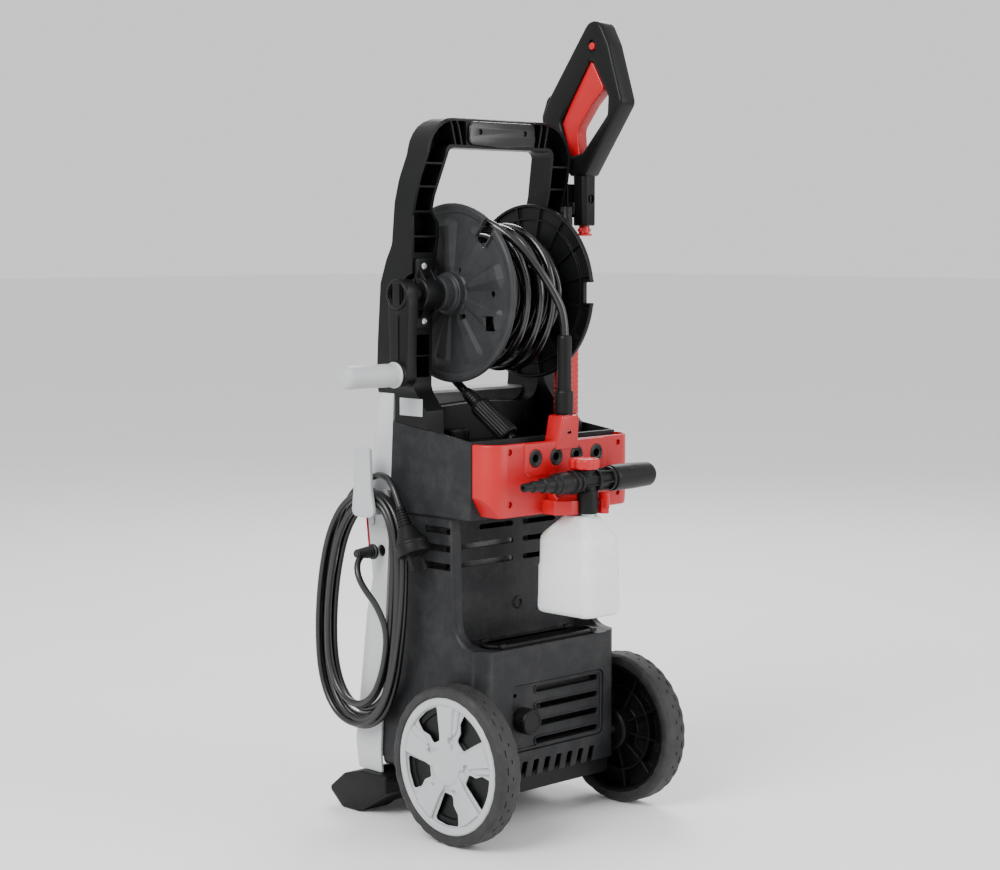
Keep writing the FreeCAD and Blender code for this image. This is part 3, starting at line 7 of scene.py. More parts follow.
import bmesh
import bpy
from bpy.props import FloatProperty, FloatVectorProperty, IntProperty, PointerProperty
from bpy.types import Operator, Panel, PropertyGroup
from mathutils import Matrix, Vector
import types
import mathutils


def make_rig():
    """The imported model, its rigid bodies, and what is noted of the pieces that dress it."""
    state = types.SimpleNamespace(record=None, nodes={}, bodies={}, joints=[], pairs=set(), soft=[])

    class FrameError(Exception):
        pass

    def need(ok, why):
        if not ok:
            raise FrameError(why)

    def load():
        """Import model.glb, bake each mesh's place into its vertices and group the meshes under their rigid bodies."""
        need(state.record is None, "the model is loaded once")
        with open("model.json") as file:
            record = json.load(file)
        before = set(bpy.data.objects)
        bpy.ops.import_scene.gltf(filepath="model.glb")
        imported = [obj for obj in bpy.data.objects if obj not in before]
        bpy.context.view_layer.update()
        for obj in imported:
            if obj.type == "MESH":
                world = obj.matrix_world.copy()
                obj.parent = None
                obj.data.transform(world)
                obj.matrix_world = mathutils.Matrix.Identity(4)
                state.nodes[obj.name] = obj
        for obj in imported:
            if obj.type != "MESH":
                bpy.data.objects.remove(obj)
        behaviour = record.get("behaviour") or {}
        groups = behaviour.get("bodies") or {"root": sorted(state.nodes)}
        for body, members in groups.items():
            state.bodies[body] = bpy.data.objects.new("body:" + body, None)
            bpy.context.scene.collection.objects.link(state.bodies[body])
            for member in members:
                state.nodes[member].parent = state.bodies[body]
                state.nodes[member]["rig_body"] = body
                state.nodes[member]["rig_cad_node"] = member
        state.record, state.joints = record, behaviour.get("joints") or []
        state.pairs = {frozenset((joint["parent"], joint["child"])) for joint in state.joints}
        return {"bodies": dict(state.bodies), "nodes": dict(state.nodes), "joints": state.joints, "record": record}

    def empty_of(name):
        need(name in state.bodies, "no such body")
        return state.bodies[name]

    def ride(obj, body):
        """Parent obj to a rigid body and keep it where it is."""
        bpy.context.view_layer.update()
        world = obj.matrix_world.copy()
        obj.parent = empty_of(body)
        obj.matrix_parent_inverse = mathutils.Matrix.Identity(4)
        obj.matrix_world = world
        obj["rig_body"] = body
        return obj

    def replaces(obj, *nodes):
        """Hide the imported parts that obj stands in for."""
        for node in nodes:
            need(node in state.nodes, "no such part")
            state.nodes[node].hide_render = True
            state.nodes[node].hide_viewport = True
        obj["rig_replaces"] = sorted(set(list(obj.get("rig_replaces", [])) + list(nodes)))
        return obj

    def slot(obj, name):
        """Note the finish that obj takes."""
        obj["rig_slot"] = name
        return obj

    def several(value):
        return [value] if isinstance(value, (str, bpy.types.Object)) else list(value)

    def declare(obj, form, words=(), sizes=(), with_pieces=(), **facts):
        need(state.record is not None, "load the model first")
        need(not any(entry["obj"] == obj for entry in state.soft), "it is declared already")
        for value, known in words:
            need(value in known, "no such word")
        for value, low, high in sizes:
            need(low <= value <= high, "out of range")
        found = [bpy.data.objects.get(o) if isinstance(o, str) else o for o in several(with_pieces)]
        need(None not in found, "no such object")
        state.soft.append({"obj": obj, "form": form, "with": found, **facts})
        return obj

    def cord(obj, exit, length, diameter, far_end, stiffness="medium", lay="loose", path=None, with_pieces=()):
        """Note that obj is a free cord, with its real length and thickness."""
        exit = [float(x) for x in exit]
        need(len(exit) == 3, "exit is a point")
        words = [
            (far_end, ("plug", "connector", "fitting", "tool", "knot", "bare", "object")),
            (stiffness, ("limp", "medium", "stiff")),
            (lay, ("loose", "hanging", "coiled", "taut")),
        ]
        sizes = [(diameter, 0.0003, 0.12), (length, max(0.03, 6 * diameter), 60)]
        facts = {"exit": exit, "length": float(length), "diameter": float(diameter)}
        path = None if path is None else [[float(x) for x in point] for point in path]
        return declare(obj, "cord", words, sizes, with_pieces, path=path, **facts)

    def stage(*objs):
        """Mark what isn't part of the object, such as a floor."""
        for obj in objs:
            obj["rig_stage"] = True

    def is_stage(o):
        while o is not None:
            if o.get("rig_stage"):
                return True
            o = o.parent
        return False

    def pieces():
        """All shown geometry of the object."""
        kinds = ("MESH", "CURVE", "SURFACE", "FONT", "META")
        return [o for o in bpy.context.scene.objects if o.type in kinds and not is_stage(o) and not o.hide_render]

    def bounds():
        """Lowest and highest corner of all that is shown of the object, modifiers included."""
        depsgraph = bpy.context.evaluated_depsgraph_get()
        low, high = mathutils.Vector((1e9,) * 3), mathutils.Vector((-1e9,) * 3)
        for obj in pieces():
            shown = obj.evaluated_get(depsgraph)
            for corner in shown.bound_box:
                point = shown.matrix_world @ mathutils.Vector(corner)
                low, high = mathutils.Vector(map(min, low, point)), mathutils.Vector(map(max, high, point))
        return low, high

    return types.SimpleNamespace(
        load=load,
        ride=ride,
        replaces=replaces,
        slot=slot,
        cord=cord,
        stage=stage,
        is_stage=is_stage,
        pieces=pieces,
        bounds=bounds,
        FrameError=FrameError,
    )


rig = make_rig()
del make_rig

bl_info = {
    "name": "Pressure washer",
    "version": (1, 0, 0),
    "blender": (4, 5, 0),
    "location": "3D View > Sidebar > Washer",
    "description": "Builds the visible pieces of an upright pressure washer around its frame",
    "category": "Object",
}

for leftover in list(bpy.data.objects):
    bpy.data.objects.remove(leftover)
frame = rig.load()
CAD_BOX = [list(corner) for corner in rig.bounds()]

# Lengths below are millimetres from the floor under the middle of the axle, where X runs along
# the axle towards the crank, Y to the rear and Z up. Pieces turn into metres when they are placed.
MM = 0.001
# That point, as seen from the zero of the frame.
MIDDLE = Vector((-38.0, 67.0, 0.0))
TO_ROW = Matrix.Scale(MM, 4) @ Matrix.Translation(MIDDLE)

REEL = (-84.2, 612.6)          # reel axis: Y, Z
WHEEL_AXIS = (0.0, 90.0)
OUTLET_Y = 34.0
FOAM = (71.0, 404.0)           # axis of the foam injector: Y, Z
GUN_X = (-151.0, -125.0)
LANCE = (-86.0, -46.0)


def row(point):
    return (Vector(point) + MIDDLE) * MM


# ---- mesh making -------------------------------------------------------------------------
def across(axis):
    """Matrix that carries (a, b, along) to X, Y, Z; a and b are the other two axes in order."""
    order = {"X": (1, 2, 0), "Y": (0, 2, 1), "Z": (0, 1, 2)}[axis]
    matrix = Matrix.Identity(4)
    for column, target in enumerate(order):
        for line in range(3):
            matrix[line][column] = 1.0 if line == target else 0.0
    return matrix


def lay_along(mesh, axis, shift=0.0):
    mesh.transform(across(axis) @ Matrix.Translation((0.0, 0.0, shift)))
    if axis == "Y":
        mesh.flip_normals()
    return mesh


def signed_area(points):
    total = 0.0
    for (x0, y0), (x1, y1) in zip(points, points[1:] + points[:1]):
        total += x0 * y1 - x1 * y0
    return total / 2


def round_corners(points, steps=6):
    """Points (a, b) or (a, b, corner radius) as a plain loop with arcs at the round corners."""
    loop = []
    count = len(points)
    for index, point in enumerate(points):
        corner = Vector(point[:2])
        radius = point[2] if len(point) > 2 else 0.0
        before = (Vector(points[index - 1][:2]) - corner)
        after = (Vector(points[(index + 1) % count][:2]) - corner)
        if radius <= 0.0 or before.length < 1e-6 or after.length < 1e-6:
            loop.append(tuple(corner))
            continue
        before.normalize()
        after.normalize()
        half = before.angle(after) / 2
        if half > math.pi / 2 - 0.01:
            loop.append(tuple(corner))
            continue
        centre = corner + (before + after).normalized() * (radius / math.sin(half))
        start = corner + before * (radius / math.tan(half)) - centre
        turn = start.angle_signed(corner + after * (radius / math.tan(half)) - centre)
        for step in range(steps + 1):
            spoke = start.copy()
            spoke.rotate(Matrix.Rotation(-turn * step / steps, 2))
            loop.append(tuple(centre + spoke))
    return loop


def rect(a, b, radius=0.0):
    return [(a[0], b[0], radius), (a[1], b[0], radius), (a[1], b[1], radius), (a[0], b[1], radius)]


def ring(radius, centre=(0.0, 0.0), count=48):
    loop = []
    for index in range(count):
        angle = math.tau * index / count
        loop.append((centre[0] + radius * math.cos(angle), centre[1] + radius * math.sin(angle)))
    return loop


def slab(axis, outline, low, high, holes=(), bevel=0.8, rounds=2):
    """Plate with rounded edges between two positions on an axis, with holes through it."""
    curve = bpy.data.curves.new("slab", "CURVE")
    curve.dimensions = "2D"
    curve.fill_mode = "BOTH"
    curve.extrude = (high - low) / 2 - bevel
    curve.bevel_depth = bevel
    curve.bevel_resolution = rounds
    curve.offset = -bevel
    for index, loop in enumerate([outline, *holes]):
        points = round_corners(list(loop))
        if (signed_area(points) < 0) != (index > 0):
            points.reverse()
        spline = curve.splines.new("POLY")
        spline.points.add(len(points) - 1)
        for control, (a, b) in zip(spline.points, points):
            control.co = (a, b, 0.0, 1.0)
        spline.use_cyclic_u = True
    holder = bpy.data.objects.new("slab", curve)
    bpy.context.scene.collection.objects.link(holder)
    evaluated = holder.evaluated_get(bpy.context.evaluated_depsgraph_get())
    mesh = bpy.data.meshes.new_from_object(evaluated)
    bpy.data.objects.remove(holder)
    bpy.data.curves.remove(curve)
    mesh.materials.clear()
    welded(mesh)
    return lay_along(mesh, axis, (low + high) / 2)


def welded(mesh, distance=1e-3):
    work = bmesh.new()
    work.from_mesh(mesh)
    bmesh.ops.remove_doubles(work, verts=work.verts, dist=distance)
    bmesh.ops.dissolve_degenerate(work, edges=work.edges, dist=1e-5)
    bmesh.ops.recalc_face_normals(work, faces=work.faces)
    work.to_mesh(mesh)
    work.free()
    return mesh


def block(x, y, z, radius=1.5, bevel=0.8):
    return slab("Z", rect(x, y, radius), z[0], z[1], bevel=bevel)


def from_lists(vertices, faces):
    mesh = bpy.data.meshes.new("piece")
    mesh.from_pydata([tuple(vertex) for vertex in vertices], [], faces)
    return welded(mesh)


def lathe(axis, centre, profile, segments=72, shape=None):
    """Turned piece: profile is a loop of (radius, along); shape(angle, along) scales the radius."""
    loop = round_corners(list(profile), 4)
    vertices = []
    faces = []
    for step in range(segments):
        angle = math.tau * step / segments
        for radius, along in loop:
            scale = shape(angle, along) if shape else 1.0
            vertices.append((math.cos(angle) * radius * scale, math.sin(angle) * radius * scale, along))
    count = len(loop)
    for step in range(segments):
        following = (step + 1) % segments
        for index in range(count):
            after = (index + 1) % count
            if loop[index][0] < 1e-6 and loop[after][0] < 1e-6:
                continue
            faces.append((step * count + index, following * count + index,
                          following * count + after, step * count + after))
    mesh = from_lists(vertices, faces)
    mesh.transform(Matrix.Translation((centre[0], centre[1], 0.0)))
    return lay_along(mesh, axis)


def disc(axis, centre, radius, low, high, edge=0.8, inner=0.0, segments=72, shape=None):
    """Cylinder or ring with rounded edges."""
    if inner > 0.0:
        profile = [(inner, low, edge), (radius, low, edge), (radius, high, edge), (inner, high, edge)]
    else:
        profile = [(0.0, low), (radius, low, edge), (radius, high, edge), (0.0, high)]
    return lathe(axis, centre, profile, segments, shape)


def loft(rings):
    """Closed skin through rings of equal length, capped at both ends."""
    count = len(rings[0])
    vertices = [point for loop in rings for point in loop]
    faces = []
    for level in range(len(rings) - 1):
        for index in range(count):
            after = (index + 1) % count
            faces.append((level * count + index, level * count + after,
                          (level + 1) * count + after, (level + 1) * count + index))
    faces.append(tuple(range(count))[::-1])
    faces.append(tuple(range((len(rings) - 1) * count, len(rings) * count)))
    return from_lists(vertices, faces)


def turned(mesh, axis, degrees, centre=(0.0, 0.0)):
    """Turns a mesh around an axis through a centre given by its other two coordinates."""
    spot = across(axis) @ Vector((centre[0], centre[1], 0.0))
    turn = Matrix.Rotation(math.radians(degrees), 4, axis)
    mesh.transform(Matrix.Translation(spot) @ turn @ Matrix.Translation(-spot))
    return mesh


def pointed(mesh, origin, aim):
    """Carries a mesh made along +Z from zero to an origin, pointing along an aim."""
    turn = Vector((0.0, 0.0, 1.0)).rotation_difference(Vector(aim)).to_matrix().to_4x4()
    mesh.transform(Matrix.Translation(Vector(origin)) @ turn)
    return mesh


def centred(mesh, spot):
    """Carries a mesh made round the X axis at zero to an axis at Y, Z."""
    mesh.transform(Matrix.Translation((0.0, *spot)))
    return mesh


def flipped(mesh):
    """Mirror image on the other side of the machine."""
    copy = mesh.copy()
    copy.transform(Matrix.Scale(-1.0, 4, (1.0, 0.0, 0.0)))
    copy.flip_normals()
    return copy


def merged(parts):
    """One mesh from several; a part is a mesh, or a mesh with its finish number."""
    work = bmesh.new()
    for part in parts:
        mesh, number = part if isinstance(part, tuple) else (part, 0)
        first = len(work.faces)
        work.from_mesh(mesh)
        work.faces.ensure_lookup_table()
        for index in range(first, len(work.faces)):
            work.faces[index].material_index = number
        bpy.data.meshes.remove(mesh)
    result = bpy.data.meshes.new("piece")
    work.to_mesh(result)
    work.free()
    return result


def carved(mesh, cutters, operation="DIFFERENCE"):
    """Mesh with cutters taken out of it, or only what it shares with them."""
    body = bpy.data.objects.new("carve", mesh)
    tool = bpy.data.objects.new("cutter", merged([cutter.copy() for cutter in cutters]))
    for item in (body, tool):
        bpy.context.scene.collection.objects.link(item)
    cut = body.modifiers.new("cut", "BOOLEAN")
    cut.operation = operation
    cut.solver = "EXACT"
    cut.use_self = True
    cut.object = tool
    evaluated = body.evaluated_get(bpy.context.evaluated_depsgraph_get())
    result = bpy.data.meshes.new_from_object(evaluated)
    result.materials.clear()
    bpy.data.objects.remove(body)
    bpy.data.objects.remove(tool)
    return result


def put(name, mesh, finishes, body, stands_for=(), slot=None, crease=32.0):
    """Turns a mesh into a finished piece that moves with a body of the frame."""
    mesh.transform(TO_ROW)
    mesh.name = name
    mesh.materials.clear()
    for finish in finishes:
        mesh.materials.append(material(finish))
    mesh.shade_smooth()
    mesh.set_sharp_from_angle(angle=math.radians(crease))
    piece = bpy.data.objects.new(name, mesh)
    bpy.context.scene.collection.objects.link(piece)
    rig.ride(piece, body)
    if stands_for:
        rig.replaces(piece, *stands_for)
    if slot:
        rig.slot(piece, slot)
    return piece


def spline_piece(name, points, radius, finish, body, slot, stands_for=()):
    """Round cord, hose or tube along one smooth line through its control points."""
    curve = bpy.data.curves.new(name, "CURVE")
    curve.dimensions = "3D"
    curve.bevel_depth = radius * MM
    curve.bevel_resolution = 5
    curve.resolution_u = 6
    curve.use_fill_caps = True
    line = curve.splines.new("NURBS")
    line.points.add(len(points) - 1)
    for control, point in zip(line.points, points):
        control.co = (*row(point), 1.0)
    line.order_u = 3
    line.use_endpoint_u = True
    curve.materials.append(material(finish))
    piece = bpy.data.objects.new(name, curve)
    bpy.context.scene.collection.objects.link(piece)
    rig.ride(piece, body)
    if stands_for:
        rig.replaces(piece, *stands_for)
    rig.slot(piece, slot)
    return piece


def line_length(piece):
    """Length of a cord's smooth line in metres."""
    curve = piece.data.copy()
    curve.bevel_depth = 0.0
    holder = bpy.data.objects.new("measure", curve)
    bpy.context.scene.collection.objects.link(holder)
    mesh = holder.evaluated_get(bpy.context.evaluated_depsgraph_get()).to_mesh()
    total = 0.0
    for edge in mesh.edges:
        first, second = (mesh.vertices[index].co for index in edge.vertices)
        total += (first - second).length
    bpy.data.objects.remove(holder)
    bpy.data.curves.remove(curve)
    return total


# ---- finishes ----------------------------------------------------------------------------
class Nodes:
    """Short hand for building one node material."""

    def __init__(self, name):
        self.material = bpy.data.materials.new(name)
        self.material.use_nodes = True
        self.tree = self.material.node_tree
        self.shader = self.tree.nodes["Principled BSDF"]
        self.place = self.add("ShaderNodeTexCoord").outputs["Object"]

    def add(self, kind, **values):
        node = self.tree.nodes.new(kind)
        for key, value in values.items():
            setattr(node, key, value)
        return node

    def link(self, output, socket):
        self.tree.links.new(output, socket)

    def noise(self, size, detail=3.0, rough=0.55, stretch=None):
        """Noise whose blotches are about size millimetres wide."""
        node = self.add("ShaderNodeTexNoise")
        node.inputs["Scale"].default_value = 1.0 / (size * MM)
        node.inputs["Detail"].default_value = detail
        node.inputs["Roughness"].default_value = rough
        place = self.place
        if stretch:
            mapping = self.add("ShaderNodeMapping")
            mapping.inputs["Scale"].default_value = stretch
            self.link(place, mapping.inputs["Vector"])
            place = mapping.outputs["Vector"]
        self.link(place, node.inputs["Vector"])
        return node.outputs["Fac"]

    def ranged(self, value, low, high, start=0.3, end=0.7):
        node = self.add("ShaderNodeMapRange")
        self.link(value, node.inputs["Value"])
        node.inputs["From Min"].default_value = start
        node.inputs["From Max"].default_value = end
        node.inputs["To Min"].default_value = low
        node.inputs["To Max"].default_value = high
        return node.outputs["Result"]

    def mixed(self, factor, first, second):
        node = self.add("ShaderNodeMix", data_type="RGBA")
        self.link(factor, node.inputs["Factor"])
        for value, socket in ((first, node.inputs["A"]), (second, node.inputs["B"])):
            if isinstance(value, (tuple, list)):
                socket.default_value = (*value, 1.0)
            else:
                self.link(value, socket)
        return node.outputs["Result"]

    def edges(self, radius):
        """About one on sharp edges and zero on flats, with the rounded normal that found them."""
        bevel = self.add("ShaderNodeBevel", samples=4)
        bevel.inputs["Radius"].default_value = radius * MM
        geometry = self.add("ShaderNodeNewGeometry")
        dot = self.add("ShaderNodeVectorMath", operation="DOT_PRODUCT")
        self.link(bevel.outputs["Normal"], dot.inputs[0])
        self.link(geometry.outputs["Normal"], dot.inputs[1])
        return self.ranged(dot.outputs["Value"], 1.0, 0.0, 0.75, 0.99), bevel.outputs["Normal"]

    def relief(self, height, strength, depth, normal=None):
        bump = self.add("ShaderNodeBump")
        bump.inputs["Strength"].default_value = strength
        bump.inputs["Distance"].default_value = depth * MM
        self.link(height, bump.inputs["Height"])
        if normal is not None:
            self.link(normal, bump.inputs["Normal"])
        return bump.outputs["Normal"]


def shade(colour, factor):
    return tuple(min(1.0, channel * factor) for channel in colour)


def moulded(name, colour, roughness, grain=0.7, relief=0.25, mottle=0.10, dust=0.0, edge=1.35,
            settings=()):
    """Moulded plastic or rubber: fine grain, faint mottling, edges paled by a patchy painted highlight, and a little
    dust.
    """
    nodes = Nodes(name)
    broad = nodes.noise(60.0, 5.0, 0.6)
    fine = nodes.noise(grain, 2.0)
    base = nodes.mixed(nodes.ranged(broad, 0.0, 1.0), shade(colour, 1 - mottle), shade(colour, 1 + mottle))
    speck = nodes.ranged(fine, 0.0, 0.25, 0.45, 0.75)
    base = nodes.mixed(speck, base, shade(colour, 1.25))
    # Painted edge highlight: sharp edges are lightened by the edge factor, in patches set by noise.
    rim, rounded = nodes.edges(0.7)
    worn = nodes.add("ShaderNodeMath", operation="MULTIPLY")
    nodes.link(rim, worn.inputs[0])
    nodes.link(nodes.ranged(nodes.noise(9.0, 4.0), 0.25, 0.9), worn.inputs[1])
    base = nodes.mixed(worn.outputs["Value"], base, shade(colour, edge))
    if dust > 0.0:
        film = nodes.ranged(nodes.noise(26.0, 6.0, 0.7), 0.0, dust, 0.45, 0.8)
        base = nodes.mixed(film, base, (0.35, 0.34, 0.32))
    nodes.link(base, nodes.shader.inputs["Base Color"])
    nodes.link(nodes.ranged(broad, roughness - 0.05, roughness + 0.07), nodes.shader.inputs["Roughness"])
    nodes.link(nodes.relief(fine, relief, 0.12, rounded), nodes.shader.inputs["Normal"])
    for socket, value in settings:
        nodes.shader.inputs[socket].default_value = value
    return nodes.material


def metal(name, colour, roughness, stretch=(1.0, 1.0, 30.0), relief=0.2):
    """Drawn or turned metal with fine lines, faint stains and edges brightened by a painted highlight."""
    nodes = Nodes(name)
    nodes.shader.inputs["Metallic"].default_value = 1.0
    lines = nodes.noise(0.6, 2.0, 0.5, stretch)
    stain = nodes.noise(12.0, 4.0)
    base = nodes.mixed(nodes.ranged(stain, 0.0, 1.0), shade(colour, 0.82), shade(colour, 1.1))
    # Painted edge highlight: sharp edges are brightened.
    rim, rounded = nodes.edges(0.3)
    base = nodes.mixed(rim, base, shade(colour, 1.3))
    nodes.link(base, nodes.shader.inputs["Base Color"])
    nodes.link(nodes.ranged(lines, roughness - 0.08, roughness + 0.12), nodes.shader.inputs["Roughness"])
    nodes.link(nodes.relief(lines, relief, 0.05, rounded), nodes.shader.inputs["Normal"])
    return nodes.material


FINISHES = {}


def material(name):
    """Finish by name, made once from the colours in the sidebar."""
    if name not in FINISHES:
        colours = bpy.context.scene.washer_colours
        body, black = tuple(colours.body), tuple(colours.black)
        light, red = tuple(colours.light), tuple(colours.accent)
        dull = (("Specular IOR Level", 0.2),)
        makers = {
            "body_grey": lambda: moulded(name, body, 0.46, relief=0.3, dust=0.05, settings=dull),
            "reel_grey": lambda: moulded(name, tuple(colours.reel), 0.42, relief=0.25, dust=0.04,
                                         settings=dull),
            "frame_black": lambda: moulded(name, black, 0.36, relief=0.25, edge=2.2, settings=dull),
            "black_plastic": lambda: moulded(name, black, 0.42, relief=0.35, edge=2.4, settings=dull),
            "black_gloss": lambda: moulded(name, shade(black, 0.8), 0.24, grain=2.0, relief=0.1, edge=2.0),
            "light_grey": lambda: moulded(name, light, 0.42, relief=0.2, mottle=0.04, edge=1.12),
            "cover_grey": lambda: moulded(name, tuple(colours.cover), 0.42, relief=0.2, mottle=0.04,
                                          edge=1.12),
            "red": lambda: moulded(name, red, 0.36, relief=0.2, mottle=0.06, edge=1.25),
            "rubber": lambda: moulded(name, shade(black, 0.9), 0.5, grain=0.5, relief=0.3, edge=1.8),
            "hose_black": lambda: moulded(name, shade(black, 0.8), 0.22, grain=1.6, relief=0.12, edge=1.5,
                                          settings=(("Coat Weight", 0.35), ("Coat Roughness", 0.16))),
            "cord_black": lambda: moulded(name, shade(black, 0.9), 0.34, grain=0.9, relief=0.18, edge=1.5,
                                          settings=(("Coat Weight", 0.15), ("Coat Roughness", 0.3))),
            "tyre": lambda: moulded(name, tuple(colours.tyre), 0.66, grain=0.5, relief=0.5, dust=0.06,
                                    edge=1.5),
            "tank_white": lambda: moulded(name, (0.72, 0.73, 0.72), 0.4, relief=0.15, mottle=0.03, edge=1.05),
            "bottle": lambda: moulded(name, (0.86, 0.87, 0.87), 0.34, grain=3.0, relief=0.12, mottle=0.02,
                                      edge=1.05, settings=(("Subsurface Weight", 0.4),
                                                           ("Subsurface Scale", 0.012),
                                                           ("Transmission Weight", 0.12))),
            "steel": lambda: metal(name, (0.62, 0.62, 0.63), 0.3),
            "zinc": lambda: metal(name, (0.75, 0.75, 0.74), 0.25, (1.0, 1.0, 1.0)),
            "cast_alloy": lambda: metal(name, (0.5, 0.51, 0.52), 0.5, (1.0, 1.0, 1.0), 0.6),
            # Near-black finish: painted shade on the floors of holes, slots, pits and windows, and the deep black of a
            # few small gun parts.
            "hole_shade_and_deep_black": lambda: moulded(name, (0.004, 0.004, 0.004), 0.7, relief=0.2, edge=1.2),
        }
        FINISHES[name] = makers[name]()
    return FINISHES[name]


# ---- settings in the sidebar -------------------------------------------------------------
def colour_property(name, description, default):
    return FloatVectorProperty(name=name, description=description, subtype="COLOR", size=3,
                               min=0.0, max=1.0, default=default)


class WasherColours(PropertyGroup):
    """Base colours of the plastics"""
    body: colour_property("Body", "Dark grey of the rear housing and its grille", (0.013, 0.0135, 0.015))
    reel: colour_property("Reel", "Grey of the crank-side flange", (0.024, 0.025, 0.027))
    black: colour_property("Black", "Black of the handle frame, gun and basket", (0.0036, 0.0038, 0.0042))
    light: colour_property("Light", "Light grey of the wheel covers, hook and crank knob", (0.40, 0.41, 0.42))
    cover: colour_property("Cover", "Light grey of the front cover", (0.46, 0.47, 0.48))
    accent: colour_property("Accent", "Red of the nozzle holder, trigger and sleeve", (0.42, 0.0, 0.004))
    tyre: colour_property("Tyre", "Dark grey of the tyres", (0.011, 0.011, 0.012))


class WasherSizes(PropertyGroup):
    """Sizes of the cord, the hose and the tread"""
    cord: FloatProperty(name="Cord", description="Diameter of the power cord", default=0.0075,
                        min=0.006, max=0.009, unit="LENGTH", subtype="DISTANCE")
    hose: FloatProperty(name="Hose", description="Diameter of the high-pressure hose", default=0.0095,
                        min=0.008, max=0.010, unit="LENGTH", subtype="DISTANCE")
    lugs: IntProperty(name="Tread waves", description="Waves along each edge of a tyre's tread",
                      default=30, min=12, max=60)


# ---- stage -------------------------------------------------------------------------------
CAMERA_AT = (1.6893, 1.7617, 0.6740)
CAMERA_BACK = (0.6966, 0.7116, 0.0919)
CAMERA_RIGHT_DEG = 45.61 + 90.0
CAMERA_LENS = 76.37
CAMERA_FILM = 36.0


def area_light(name, place, target, size, power):
    data = bpy.data.lights.new(name, "AREA")
    data.shape = "RECTANGLE"
    data.size, data.size_y = size
    data.energy = power
    lamp = bpy.data.objects.new(name, data)
    lamp.location = place
    lamp.rotation_euler = (Vector(place) - Vector(target)).to_track_quat("Z", "Y").to_euler()
    bpy.context.scene.collection.objects.link(lamp)
    return lamp


class WASHER_OT_stage(Operator):
    """Adds the floor, the soft light and the camera"""
    bl_idname = "washer.stage"
    bl_label = "Stage"

    def execute(self, context):
        camera = bpy.data.objects.new("camera", bpy.data.cameras.new("camera"))
        camera.data.lens = CAMERA_LENS
        camera.data.sensor_width = CAMERA_FILM
        back = Vector(CAMERA_BACK).normalized()
        turn = math.radians(CAMERA_RIGHT_DEG)
        right = Vector((math.cos(turn), math.sin(turn), 0.0))
        pose = Matrix((right, back.cross(right), back)).transposed().to_4x4()
        pose.translation = CAMERA_AT
        camera.matrix_world = pose
        context.scene.collection.objects.link(camera)
        context.scene.camera = camera

        mesh = bpy.data.meshes.new("floor")
        reach = 30.0
        mesh.from_pydata([(-reach, -reach, 0.0), (reach, -reach, 0.0), (reach, reach, 0.0),
                          (-reach, reach, 0.0)], [], [(0, 1, 2, 3)])
        floor = bpy.data.objects.new("floor", mesh)
        nodes = Nodes("floor_white")
        nodes.link(nodes.mixed(nodes.noise(300.0), (0.86, 0.86, 0.86), (0.9, 0.9, 0.9)),
                   nodes.shader.inputs["Base Color"])
        nodes.shader.inputs["Roughness"].default_value = 0.6
        mesh.materials.append(nodes.material)
        context.scene.collection.objects.link(floor)
        floor.location.z = -0.0005

        world = bpy.data.worlds.new("studio")
        world.use_nodes = True
        sky = world.node_tree.nodes["Background"]
        sky.inputs["Color"].default_value = (1.0, 1.0, 1.0, 1.0)
        sky.inputs["Strength"].default_value = 1.0
        context.scene.world = world
        centre = (0.0, 0.0, 0.5)
        lights = [area_light("key", (2.6, 0.5, 2.4), centre, (1.6, 1.6), 120.0),
                  area_light("side", (-1.2, 2.6, 1.4), centre, (1.4, 2.0), 45.0),
                  area_light("rim", (-1.8, -1.4, 2.2), centre, (1.2, 1.2), 40.0)]
        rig.stage(camera, floor, *lights)
        return {"FINISHED"}


# ---- cords -------------------------------------------------------------------------------
CORD_LEAD = [(131.2, -146.0, 314.0), (143.2, -146.0, 314.0), (154.8, -143.3, 308.8),
             (162.4, -138.4, 299.5), (164.6, -131.9, 287.3), (160.5, -124.7, 273.5),
             (152.0, -115.5, 257.0)]
CORD_END = [(131.0, -139.0, 404.2), (133.5, -127.0, 404.6), (136.0, -114.6, 402.9),
            (138.5, -103.3, 395.3), (140.0, -95.0, 384.7), (140.0, -88.5, 371.2)]
PLUG_AT = (140.0, -88.4, 371.0)
PLUG_AIM = (0.0, 33.3, -69.6)
# One row per turn of the hanging bundle: X, top, half height, half width, middle Y.
CORD_TURNS = [(143.0, 377.5, 128.0, 60.0, -170.0), (141.3, 377.5, 118.0, 52.0, -166.0),
              (133.8, 377.5, 131.0, 63.0, -168.0), (126.4, 378.0, 123.0, 56.0, -167.0),
              (127.0, 385.6, 146.0, 72.0, -176.0), (134.0, 386.0, 138.0, 73.5, -173.0),
              (141.0, 386.0, 143.0, 68.0, -173.0), (131.0, 402.0, 140.0, 62.0, -168.0)]
CORD_FIRST_DEG = 100.0
CORD_LEAN = 28.0
CORD_FULLNESS = 0.07


def cord_route():
    points = list(CORD_LEAD)
    per_turn = 14
    steps = int((len(CORD_TURNS) - 1) * per_turn)
    first = CORD_FIRST_DEG / 360.0
    for step in range(steps + 1):
        turn = step / per_turn
        if turn < first:
            continue
        index = min(int(turn), len(CORD_TURNS) - 2)
        share = turn - index
        x, top, tall, wide, middle = (a + (b - a) * share for a, b in
                                      zip(CORD_TURNS[index], CORD_TURNS[index + 1]))
        t = math.tau * turn
        lean = CORD_LEAN * ((1 + math.cos(t)) / 2) ** 2
        swing = (math.sin(t) + CORD_FULLNESS * math.sin(3 * t)) / (1 - CORD_FULLNESS)
        points.append((x, middle + wide * swing + lean, top - tall + tall * math.cos(t)))
    return points[:-1] + CORD_END


